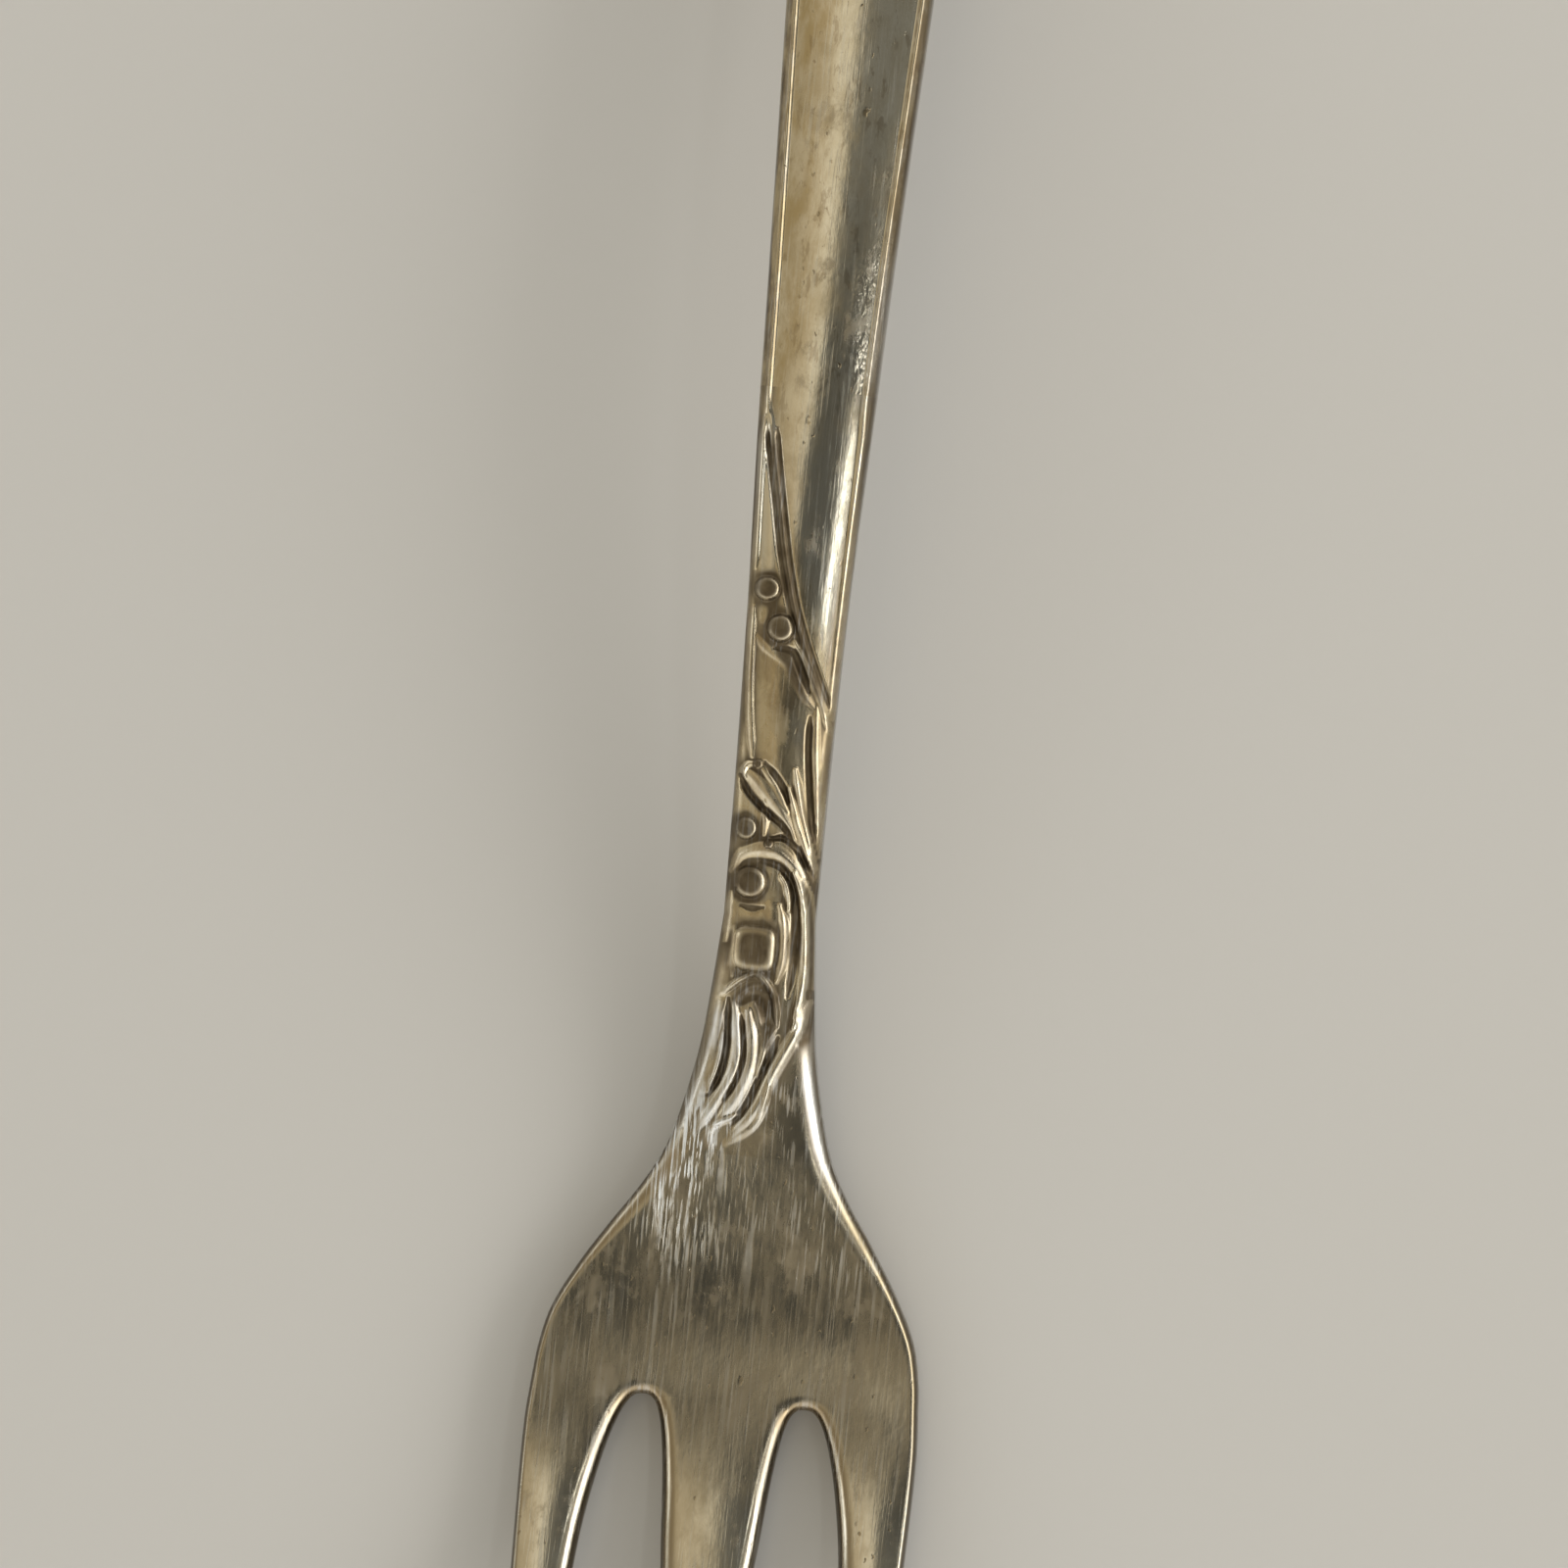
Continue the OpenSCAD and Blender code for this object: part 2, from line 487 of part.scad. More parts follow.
// Rows crowd towards the slots' rounded roots and towards the rounded tips
tip_stations = [for (i = [0 : tip_rows - 1]) tip_round * (1 - cos(90 * i / tip_rows))];
tine_stations = concat(
    tip_stations,
    [for (i = [tine_rows : -1 : 0]) between(slot_station, tip_round, pow(i / tine_rows, root_crowding))]
);

// Columns of the handle: the rim along each edge, and the panel between the rims
function handle_columns(s) =
    let (
        wide = 2 * (half_width(s) - edge_inset),
        squeeze = min(1, wide * most_rim_share / (rim_inset + rim_reach)),
        rim_part = [
            for (i = [0 : rim_steps])
                max(least_share, (rim_inset - edge_inset + rim_reach * (2 * i / rim_steps - 1)) / wide * squeeze)
        ],
        inner = rim_part[rim_steps]
    )
    concat(
        rim_part,
        [for (share = even_shares(panel_columns)) between(inner, 1 - inner, share)],
        [for (i = [rim_steps : -1 : 0]) 1 - rim_part[i]]
    );

// Flanks of the tines, drawn in to a rounded tip, as [left, right]
function narrowed(flanks, s) =
    let (middle = (flanks[0] + flanks[1]) / 2, half = (flanks[1] - flanks[0]) / 2 * tip_share(s))
    [middle - half, middle + half];
function centre_flanks(s) =
    let (half = slot_middle(s) - slot_half_width(s))
    narrowed([-half, half], s);
function outer_flanks(s) = narrowed([slot_middle(s) + slot_half_width(s), half_width(s)], s);

// A section across the whole width of the handle, the neck or the palm
function body_section(s, shares, kind) =
    let (half = half_width(s), edge = outer_rounding(s, 2 * half))
    section(s, -half, half, shares, kind, edge, edge);

module handle() {
    stations = concat(even_stations(ornament_head, widest_station, handle_rows), end_stations);
    color(silver)
        difference() {
            skin([for (s = stations) body_section(s, handle_columns(s), "handle")]);
            below_table();
        }
}

module neck() {
    stations = even_stations(ornament_foot, ornament_head, neck_rows);
    shares = even_shares(neck_columns);
    color(silver)
        skin([for (s = stations) body_section(s, shares, "neck")]);
}

module palm() {
    stations = even_stations(slot_station, ornament_foot, palm_rows);
    shares = even_shares(palm_columns);
    color(silver)
        difference() {
            skin([for (s = stations) body_section(s, shares, "palm")]);
            below_table();
        }
}

// A tine between its flanks. side is -1 where its left edge is the fork's outer one, 1 for its right edge.
module tine(flank_rows, side) {
    shares = even_shares(tine_columns);
    color(silver)
        skin([
            for (i = [0 : len(tine_stations) - 1])
                let (
                    s = tine_stations[i],
                    flanks = flank_rows[i],
                    width = flanks[1] - flanks[0],
                    left_edge = side < 0 ? outer_rounding(s, width) : slot_rounding(s, width),
                    right_edge = side > 0 ? outer_rounding(s, width) : slot_rounding(s, width)
                )
                section(s, flanks[0], flanks[1], shares, "tine", left_edge, right_edge)
        ]);
}

module tine_left() {
    tine([for (s = tine_stations) let (flanks = outer_flanks(s)) [-flanks[1], -flanks[0]]], -1);
}

module tine_centre() {
    tine([for (s = tine_stations) centre_flanks(s)], 0);
}

module tine_right() {
    tine([for (s = tine_stations) outer_flanks(s)], 1);
}

handle();
neck();
palm();
tine_left();
tine_centre();
tine_right();
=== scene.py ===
import math
from types import SimpleNamespace

import bpy
import numpy as np
from bpy.props import FloatProperty, FloatVectorProperty, PointerProperty
from mathutils import Matrix, Vector


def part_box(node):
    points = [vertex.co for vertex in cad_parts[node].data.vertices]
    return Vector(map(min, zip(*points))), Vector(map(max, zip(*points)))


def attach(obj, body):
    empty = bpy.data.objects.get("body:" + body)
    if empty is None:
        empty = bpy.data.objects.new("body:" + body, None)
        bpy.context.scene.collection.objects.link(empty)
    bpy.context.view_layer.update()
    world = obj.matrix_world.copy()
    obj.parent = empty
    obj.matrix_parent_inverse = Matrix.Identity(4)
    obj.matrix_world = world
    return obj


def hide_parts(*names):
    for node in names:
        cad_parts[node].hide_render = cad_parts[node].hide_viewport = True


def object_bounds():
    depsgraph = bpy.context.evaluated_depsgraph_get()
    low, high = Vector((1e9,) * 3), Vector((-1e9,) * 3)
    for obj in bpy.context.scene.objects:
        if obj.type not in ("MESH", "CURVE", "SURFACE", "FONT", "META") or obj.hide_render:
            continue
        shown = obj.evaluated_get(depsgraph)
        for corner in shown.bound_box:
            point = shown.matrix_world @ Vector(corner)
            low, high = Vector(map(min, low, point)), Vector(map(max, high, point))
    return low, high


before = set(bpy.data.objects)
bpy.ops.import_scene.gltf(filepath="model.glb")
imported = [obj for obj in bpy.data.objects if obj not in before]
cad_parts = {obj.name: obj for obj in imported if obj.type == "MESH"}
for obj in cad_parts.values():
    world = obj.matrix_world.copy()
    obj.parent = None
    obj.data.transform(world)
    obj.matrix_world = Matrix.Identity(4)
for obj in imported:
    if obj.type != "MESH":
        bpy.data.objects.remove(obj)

# An oyster fork of worn silver plate, lying with its struck ornament up. The tines point along -Y
# and the handle along +Y. Stations are distances from the tine tips, measured along Y.

bl_info = {
    "name": "Oyster Fork",
    "version": (1, 0, 0),
    "blender": (4, 5, 0),
    "location": "View3D > Sidebar > Oyster Fork",
    "description": "Makes a silver-plated oyster fork with scrollwork struck on its neck",
    "category": "Add Mesh",
}

MM = 0.001
# How far apart points of one place may lie, and the least length that is divided by
SAME_PLACE = 1e-7
NEVER_ZERO = 1e-20
CAD_BOX = [list(corner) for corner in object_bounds()]

# Places between the slots and the waist, with the share of the flare's width left there
SHOULDER_SHARES = (
    (0, 0.985), (0.08, 0.96), (0.16, 0.9), (0.25, 0.757), (0.34, 0.577), (0.43, 0.385),
    (0.51, 0.25), (0.6, 0.165), (0.73, 0.08), (0.86, 0.037), (1, 0),
)
# Places between the tips and the slots, with the share of the head's half width there
OUTER_EDGE_SHARES = ((0, 0.93), (0.25, 0.95), (0.55, 0.982), (0.8, 1), (0.93, 1), (1, 0.98846))
# Places between the waist and the ornament's head, with the share of the widening reached
NECK_SHARES = ((0, 0), (0.3, 0.1), (0.6, 0.35), (0.85, 0.75), (1, 1))
# Places between the ornament's head and the widest place, with the share reached
HANDLE_SHARES = ((0, 0), (0.08, 0.06), (0.25, 0.22), (0.5, 0.46), (0.75, 0.76), (0.9, 0.95), (1, 1))
# Places from the slots to the tips, with each slot's middle as a share of the half width
SLOT_MIDDLE_SHARES = ((0, 0.413), (0.15, 0.438), (0.32, 0.453), (1, 0.427))
# How quickly a slot opens from its rounded root
SLOT_OPENING_SHARE = 0.37

# The struck ornament. Places run across from the left edge (-1) to the right (1) and along from
# the ornament's head (0) to its foot (1). A stroke is (height share, half width share, points),
# with the height a share of the relief's height and the half width a share of the neck's width.
# Broad leaves and bands, which swell under the finer scrolls
SWELL_SHARES = (
    (0.2, 0.13, ((-0.82, 0.03), (-0.78, 0.1), (-0.72, 0.17), (-0.66, 0.24), (-0.62, 0.3))),
    (0.12, 0.26, ((-0.5, 0.34), (-0.36, 0.39), (-0.22, 0.44), (-0.06, 0.5), (0.2, 0.55), (0.5, 0.6))),
    (0.65, 0.13, ((-0.78, 0.497), (-0.55, 0.506), (-0.25, 0.524), (0.05, 0.542), (0.3, 0.565),
        (0.5, 0.6))),
    (0.7, 0.12, ((-0.86, 0.628), (-0.74, 0.608), (-0.45, 0.598), (-0.05, 0.596), (0.32, 0.605),
        (0.6, 0.622), (0.8, 0.648), (0.9, 0.68), (0.93, 0.72), (0.93, 0.77))),
    (0.35, 0.2, ((0.1, 0.67), (0.14, 0.72), (0.12, 0.77))),
    (0.75, 0.095, ((0.92, 0.79), (0.78, 0.818), (0.58, 0.845), (0.4, 0.87), (0.24, 0.895), (0.1, 0.93),
        (-0.06, 0.955), (-0.26, 0.985))),
    (0.55, 0.085, ((-0.5, 0.8), (-0.42, 0.83), (-0.34, 0.86), (-0.34, 0.885), (-0.46, 0.915),
        (-0.6, 0.945), (-0.7, 0.975))),
    (0.5, 0.085, ((-0.22, 0.81), (-0.12, 0.84), (-0.08, 0.87), (-0.14, 0.9), (-0.28, 0.93),
        (-0.46, 0.96))),
)
# Ridges: the borders, the scrolls, the flames and the sprays
RIDGE_SHARES = (
    (0.2, 0.041, ((-0.86, 0), (-0.73, 0.053), (-0.6, 0.11), (-0.46, 0.162), (-0.33, 0.21),
        (-0.2, 0.245), (-0.06, 0.279), (0.06, 0.3), (0.3, 0.338), (0.55, 0.372), (0.8, 0.41),
        (0.95, 0.44))),
    (0.4, 0.054, ((-0.87, 0.04), (-0.88, 0.1), (-0.87, 0.235))),
    (0.4, 0.061, ((-0.86, 0.285), (-0.84, 0.36), (-0.77, 0.42), (-0.7, 0.45), (-0.64, 0.478))),
    (0.3, 0.054, ((0.86, 0), (0.88, 0.1), (0.9, 0.2), (0.92, 0.3), (0.95, 0.42))),
    (0.2, 0.061, ((-0.8, 0.318), (-0.6, 0.334), (-0.3, 0.346), (-0.02, 0.354), (0.16, 0.37),
        (0.32, 0.392), (0.48, 0.403), (0.6, 0.41))),
    (0.35, 0.047, ((0.05, 0.325), (0.24, 0.345), (0.46, 0.37), (0.7, 0.4), (0.9, 0.436))),
    (0.3, 0.05, ((0.62, 0.405), (0.66, 0.44), (0.73, 0.485), (0.83, 0.525), (0.92, 0.56), (0.96, 0.6))),
    (0.6, 0.054, ((0.3, 0.49), (0.42, 0.52), (0.52, 0.545), (0.66, 0.57), (0.8, 0.595), (0.92, 0.615))),
    (0.7, 0.061, ((0.2, 0.515), (0.36, 0.54), (0.48, 0.56), (0.64, 0.585), (0.8, 0.61), (0.92, 0.632))),
    (0.5, 0.047, ((-0.44, 0.489), (-0.6, 0.487), (-0.76, 0.489), (-0.82, 0.499), (-0.74, 0.508))),
    (0.3, 0.047, ((-0.4, 0.492), (-0.16, 0.508), (0.06, 0.526), (0.24, 0.545))),
    (0.45, 0.054, ((-0.3, 0.535), (-0.24, 0.555), (-0.24, 0.578))),
    (0.8, 0.07, ((0.48, 0.624), (0.65, 0.645), (0.79, 0.675), (0.84, 0.71), (0.83, 0.745),
        (0.76, 0.785), (0.62, 0.825))),
    (0.8, 0.075, ((0.22, 0.63), (0.34, 0.638), (0.44, 0.655), (0.44, 0.672))),
    (0.6, 0.061, ((0.24, 0.667), (0.34, 0.685), (0.39, 0.714), (0.37, 0.743), (0.27, 0.768))),
    (0.35, 0.054, ((-0.7, 0.7), (-0.64, 0.735), (-0.6, 0.765))),
    (0.35, 0.061, ((-0.86, 0.655), (-0.85, 0.69), (-0.86, 0.72))),
    (0.75, 0.05, ((-0.74, 0.79), (-0.55, 0.774), (-0.3, 0.762), (-0.12, 0.757), (0.02, 0.765),
        (0.2, 0.778), (0.28, 0.795), (0.33, 0.825))),
    (0.5, 0.061, ((-0.76, 0.8), (-0.76, 0.84), (-0.8, 0.88), (-0.84, 0.92), (-0.88, 0.97))),
    (0.4, 0.047, ((-0.62, 0.84), (-0.6, 0.88), (-0.66, 0.92))),
    (0.45, 0.047, ((0.24, 0.905), (0.2, 0.93), (0.06, 0.962), (-0.22, 0.984))),
    (0.45, 0.047, ((-0.16, 0.946), (-0.36, 0.956), (-0.54, 0.968), (-0.5, 0.985), (-0.44, 1))),
    (0.4, 0.047, ((0.3, 0.83), (0.14, 0.85), (0.1, 0.87), (0.06, 0.895))),
)
# Grooves that part the leaves
GROOVE_SHARES = (
    (0.3, 0.036, ((-0.63, 0.053), (-0.5, 0.11), (-0.36, 0.162), (-0.23, 0.21), (-0.1, 0.245),
        (0.04, 0.279), (0.16, 0.3), (0.4, 0.338), (0.65, 0.372), (0.88, 0.405))),
    (0.3, 0.036, ((-0.82, 0.053), (-0.7, 0.11), (-0.56, 0.162), (-0.43, 0.21), (-0.3, 0.245),
        (-0.16, 0.279), (-0.04, 0.3), (0.16, 0.332))),
    (0.56, 0.057, ((-0.36, 0.335), (-0.1, 0.336), (0.08, 0.34), (0.26, 0.365), (0.42, 0.388))),
    (0.75, 0.052, ((-0.86, 0.503), (-0.72, 0.521), (-0.45, 0.538), (-0.15, 0.551), (0.15, 0.563),
        (0.4, 0.585))),
    (0.5, 0.052, ((-0.36, 0.484), (-0.14, 0.497), (0.08, 0.513), (0.22, 0.532))),
    (0.56, 0.046, ((0.5, 0.42), (0.52, 0.46), (0.6, 0.5), (0.7, 0.54), (0.84, 0.58))),
    (0.75, 0.052, ((-0.1, 0.582), (0.2, 0.578), (0.42, 0.588), (0.62, 0.602), (0.82, 0.622),
        (0.95, 0.645))),
    (0.5, 0.057, ((-0.28, 0.612), (0.06, 0.614), (0.3, 0.622), (0.48, 0.642), (0.58, 0.67), (0.6, 0.71),
        (0.58, 0.75), (0.5, 0.785))),
    (0.3, 0.04, ((0.7, 0.63), (0.88, 0.66), (0.95, 0.7), (0.95, 0.75), (0.9, 0.79))),
    (1, 0.149, ((-0.36, 0.797), (-0.14, 0.785), (0.06, 0.79), (0.14, 0.82))),
    (0.56, 0.052, ((-0.62, 0.795), (-0.56, 0.83), (-0.52, 0.86), (-0.54, 0.895), (-0.66, 0.925))),
    (0.3, 0.04, ((-0.34, 0.815), (-0.25, 0.845), (-0.2, 0.87), (-0.26, 0.9), (-0.42, 0.93))),
    (0.5, 0.052, ((0.36, 0.84), (0.22, 0.87), (0.06, 0.9), (-0.06, 0.93), (-0.24, 0.96))),
    (0.44, 0.046, ((-0.62, 0.672), (-0.4, 0.676), (-0.12, 0.672))),
)
# Places that are painted darker, as strokes
DARKENED_SHARES = (
    (0.6, 0.1, ((-0.72, 0.053), (-0.6, 0.11), (-0.46, 0.162), (-0.33, 0.21), (-0.2, 0.245),
        (-0.06, 0.279), (0.06, 0.3), (0.3, 0.338), (0.55, 0.372), (0.8, 0.41))),
    (0.75, 0.12, ((-0.42, 0.318), (-0.2, 0.34), (0.04, 0.352), (0.2, 0.38), (0.36, 0.4))),
    (0.95, 0.2, ((-0.48, 0.795), (-0.3, 0.782), (-0.1, 0.776), (0.06, 0.785), (0.18, 0.81),
        (0.18, 0.85))),
    (0.3, 0.08, ((-0.66, 0.8), (-0.6, 0.83), (-0.56, 0.86), (-0.58, 0.9))),
)
# Places that are rubbed clean, as strokes
CLEAN_SHARES = (
    (1, 0.14, ((-0.8, 0.04), (-0.76, 0.1), (-0.7, 0.16), (-0.62, 0.225), (-0.6, 0.24))),
)
# Bosses as (height share, across, along, half width share, half length share, squareness)
BOSS_SHARES = (
    (0.9, -0.6, 0.26, 0.14, 0.13, 2),
    (1.1, -0.27, 0.3095, 0.15, 0.15, 2),
    (0.4, -0.5, 0.487, 0.05, 0.05, 2),
    (0.9, -0.64, 0.571, 0.12, 0.125, 2),
    (0.35, -0.12, 0.588, 0.05, 0.05, 2),
    (1.1, -0.46, 0.6405, 0.18, 0.175, 2),
    (0.9, -0.23, 0.727, 0.235, 0.25, 4),
)

# The floor's half width, the window's middle, the place that it faces, and the camera's target
FLOOR_REACH = 1.5
WINDOW_PLACE = Vector((0.82, -0.1, 0.38))
WINDOW_AIM = Vector((0, -0.02, 0))
CAMERA_AIM = Vector((0.12 * MM, -24.47 * MM, 6 * MM))
# The room's light by its angle from overhead towards the right, in degrees
ROOM_STOPS = (
    (-90, (0.5, 0.48, 0.43)), (-50, (0.52, 0.48, 0.38)), (-27, (0.5, 0.43, 0.3)),
    (-14, (0.64, 0.55, 0.39)), (-7, (0.88, 0.81, 0.65)), (-2.5, (0.8, 0.73, 0.57)),
    (0.5, (0.21, 0.205, 0.18)), (12, (0.2, 0.195, 0.17)), (22, (0.22, 0.22, 0.2)),
    (34, (0.26, 0.245, 0.2)), (48, (0.42, 0.39, 0.32)), (90, (0.6, 0.59, 0.56)),
)
# Its light in front and behind
ROOM_SIDES = (1.3, 1.29, 1.25)
# Patches in it as (colour, middle, reach), with angles to the right and to the back in degrees
ROOM_PATCHES = (
    ((0.1, 0.1, 0.09), (12.0, -15.0), (23.0, 26.5)),
    ((3.6, 3.6, 3.45), (26.5, -9.0), (2.7, 17.0)),
    ((2.0, 1.92, 1.88), (58.0, -18.0), (24.0, 15.0)),
    ((1.9, 1.95, 1.95), (-67.0, -18.0), (14.0, 15.0)),
)

# Depths that count as a full crest or hollow and as struck ground, and the steps along and across
# over which the level round them and the ground are spread
MARK_DEPTH = 0.09 * MM
STRUCK_DEPTH = 0.015 * MM
LEVEL_STEPS = (5, 5)
STRUCK_STEPS = (14, 2)
# The depth share of a full cut, and the form of the soot's strokes and of the clean ones
FULL_CUT_SHARE = 0.55
DARKENED_POWER = 1.2
CLEAN_POWER = 1.0
# How dark a bead and the shell are painted: a painted dark reflection on top, patina and painted shade
# round the foot, and painted shade on a bead's side away from the window and on the shell's upper and
# lower walls
BEAD_DARKNESS = (0.9, 0.7, 0.5)
SHELL_DARKNESS = (0.9, 0.25, 0.9)
# The share of the ornament worn at its foot, and the shares of the hollows and the ground left there
WORN_FOOT_SHARE = 0.28
WORN_HOLLOW_SHARE = 0.4
WORN_GROUND_SHARE = 0.5
# Where the struck ground begins below the ornament's head, and over what length
GROUND_START = 2 * MM
GROUND_RUN = 7 * MM

# Where marks begin or end, in millimetres along the fork: towards the handle at a head, and
# towards the tines at a foot
USED_HEAD, USED_FOOT = (-40, -34), (-47, -45.5)
HAZE_HEAD = (-44, -39)
FILM_HEAD, FILM_STEP, FILM_FOOT = (-36, -32), (-47.3, -45.3), (-58, -54)
FLANK_HEAD = (-38, -34)
EDGE_HEAD = (-32, -26)
# Where the painted highlight on the right edges is bright silver, and below it where it is golden
SHOULDER_HEAD, SHOULDER_FOOT = (-32, -28), (-44.5, -39.5)
GOLD_HIGHLIGHT_HEAD, GOLD_HIGHLIGHT_FOOT = (-44.5, -40), (-55, -52)
FLAME_HEAD = (-36, -33)
HANDLE_FOOT = (-12, -6)
# The same in millimetres across, for the handle's golden clouds with their painted warm reflection and
# for the painted highlight on the flames
GOLDEN_ZONE = (-1.9, -0.3)
FLAME_ZONE = (-1.1, 0.2)

# Ramps over how far the surface faces right or up, as (low, high, value below, value above)
# FACES_LEFT and FACES_NOT_ALL_LEFT place painted shade on left-facing faces, FACES_RIGHT and
# RIGHT_EDGE_TILT a painted highlight on right-facing edges, ROOT_TILT painted shade round the slots'
# roots, and FLANK_TILT and UPPER_SIDE painted shade on the flanks
FACES_LEFT = (-0.35, -0.12, 0.8, 0.0)
FACES_NOT_ALL_LEFT = (-0.55, -0.42)
FACES_RIGHT = (0.1, 0.3)
EDGE_TILT = (0.9, 0.96, 1.0, 0.0)
RIGHT_EDGE_TILT = (0.88, 0.96, 1.0, 0.0)
ROOT_TILT = (0.9, 0.995, 1.0, 0.0)
FLANK_TILT = (0.4, 0.84, 0.93, 0.0)
UPPER_SIDE = (0.0, 0.06, 0.5, 1.0)
# The same over the distance from a slot's root, for the painted shade there
ROOT_SHADE = (0.7 * MM, 1.7 * MM, 0.8, 0.0)

# Noises of the finish as (features a millimetre, stretch, detail, roughness, distortion), each
# with its ramp as (low, high, value below, value above)
TARNISH_CLOUDS = ((0.28, (1, 0.45, 1), 6, 0.62, 0.4), (0.4, 0.6))
FINE_TARNISH = ((1.7, (1, 0.5, 1), 8, 0.7), (0.4, 0.66))
STAIN_BLOTS = ((0.6, (1, 0.5, 1), 7, 0.66, 0.2), (0.55, 0.66))
SCRATCHED_PATCHES = ((0.35, (1, 0.5, 1), 3, 0.6), (0.35, 0.65, 0.25, 1.0))
BROAD_STREAKS = ((6, (1, 0.05, 0.3), 3, 0.6), (0.54, 0.6))
HAZE_BRUSHING = ((5, (1, 0.1, 0.3), 4, 0.6), (0.4, 0.62))
HAZE_BLOTS = ((0.9, (1, 0.5, 1), 5, 0.6, 0.3), (0.36, 0.66))
RUBBED_PATCHES = ((0.9, (1, 0.4, 1), 4, 0.6, 0.4), (0.38, 0.58, 0.2, 1.0))
EDGE_SMUDGES = ((2.2, (1, 0.4, 1), 4, 0.6), (0.4, 0.54, 0.45, 0.9))
GOLDEN_CLOUDS = ((1.1, (1, 0.35, 1), 6, 0.65, 0.3), (0.38, 0.66))
BROWN_SPECKS = ((2.4, (1, 0.3, 1), 6, 0.7, 0.3), (0.55, 0.64))
DARK_PATCHES = ((1.2, (1, 1, 1), 5), (0.25, 0.7, 0.8, 1.0))
GROUND_MOTTLING = ((1.0, (1, 0.6, 1), 6, 0.65, 0.4), (0.42, 0.62, 0.0, 0.6))
# Noises that shape the bump, without a ramp
BRUSHED_GRAIN = (12, (1, 0.015, 0.3), 2, 0.5)
SOFT_WAVES = (0.45, (1, 0.6, 1), 5, 0.55)
FINE_RIPPLES = (1.7, (1, 0.35, 1), 3, 0.5)
DENT_SHAPES = (2.6, (1, 0.6, 1), 2, 0.6)
# Scratches as (features a millimetre, stretch, noise where one begins), and the noise up to its crest
SCRATCH_LINES = ((11, 0.02, 0.58), (6, 0.03, 0.6), (3, 0.04, 0.62))
SCRATCH_RISE = 0.12
# Pits as (features a millimetre, reach as a share of a feature), and how far they are shifted about
PIT_SIZES = ((0.9, 0.13), (2.3, 0.18))
PIT_SHIFT = 0.5 * MM

# Where the plate is scratched most and where it is dented, as (middle, reach), and the root of a slot
RUBBED_PLACE = ((-2.7 * MM, -42.2 * MM, 0.0), (2.2 * MM, 5.6 * MM, 1.0))
DENTED_PLACE = ((2.0 * MM, -3.6 * MM, 0.0), (1.1 * MM, 4.4 * MM, 1.0))
ROOT_PLACE = (3.6 * MM, -52.4 * MM, 0.0)

# Counts of steps in the surfaces
EDGE_STEPS = 7
TINE_COLUMNS = 36
SOLE_COLUMNS = 8
SOLE_EDGE_STEPS = 2
WALL_STEPS = 3
NECK_ROWS = 520
HANDLE_ROWS = 150
END_ROWS = 40
PALM_ROWS = 110
TINE_ROWS = 84
TIP_ROWS = 14
OUTLINE_POINTS = 700
# How strongly the rows crowd towards the slots' roots
PALM_CROWDING = 1.5
TINE_CROWDING = 2.4
# Where the first row of a tip and the last row of the rounded end lie
TIP_END_SHARE = 2e-4
ROUND_END_SHARE = 0.997

# Form of a stroke: how steeply it falls, and how slim it gets over some half widths at its ends
STROKE_POWER = 1.6
STROKE_END_SHARE = 0.55
STROKE_END_REACH = 3
# The rounding of the upper edges: its greatest depth as a share of the thickness, its greatest
# width as a share of a tine and of the body's half width, and where its width changes
DROP_SHARE = 0.42
TINE_ROUNDING_SHARE = 0.3
BODY_ROUNDING_SHARE = 0.55
SHOULDER_INSET_SHARE = 0.6
SHOULDER_RUN = 4 * MM
NECK_INSET_RUN = 12 * MM
SLOT_INSET_RUN = 10 * MM
SLOPE_STEP = 0.05 * MM
# How much of the palm keeps the tines' columns
SPLIT_SHARE = 0.7
# How a tine's crown comes in from the slots on
TINE_CROWN_RUN = 6 * MM
TINE_CROWN_SHARES = ((0, 0.7), (1, 1))


def length_of(node):
    """Length along Y of one of the fork's solids."""
    low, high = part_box(node)
    return high.y - low.y


def width_of(node):
    """Width along X of one of the fork's solids."""
    low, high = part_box(node)
    return high.x - low.x


def size_value(name, description, default):
    """A length that a user may change."""
    return FloatProperty(
        name=name, description=description, default=default, min=0.0, precision=5, unit="LENGTH"
    )


def colour_value(name, description, default):
    """A colour that a user may change."""
    return FloatVectorProperty(
        name=name, description=description, default=default, min=0.0, max=1.0, size=3, subtype="COLOR"
    )


def share_value(name, description, default, high=1.0):
    """A plain number that a user may change."""
    return FloatProperty(name=name, description=description, default=default, min=0.0, max=high)


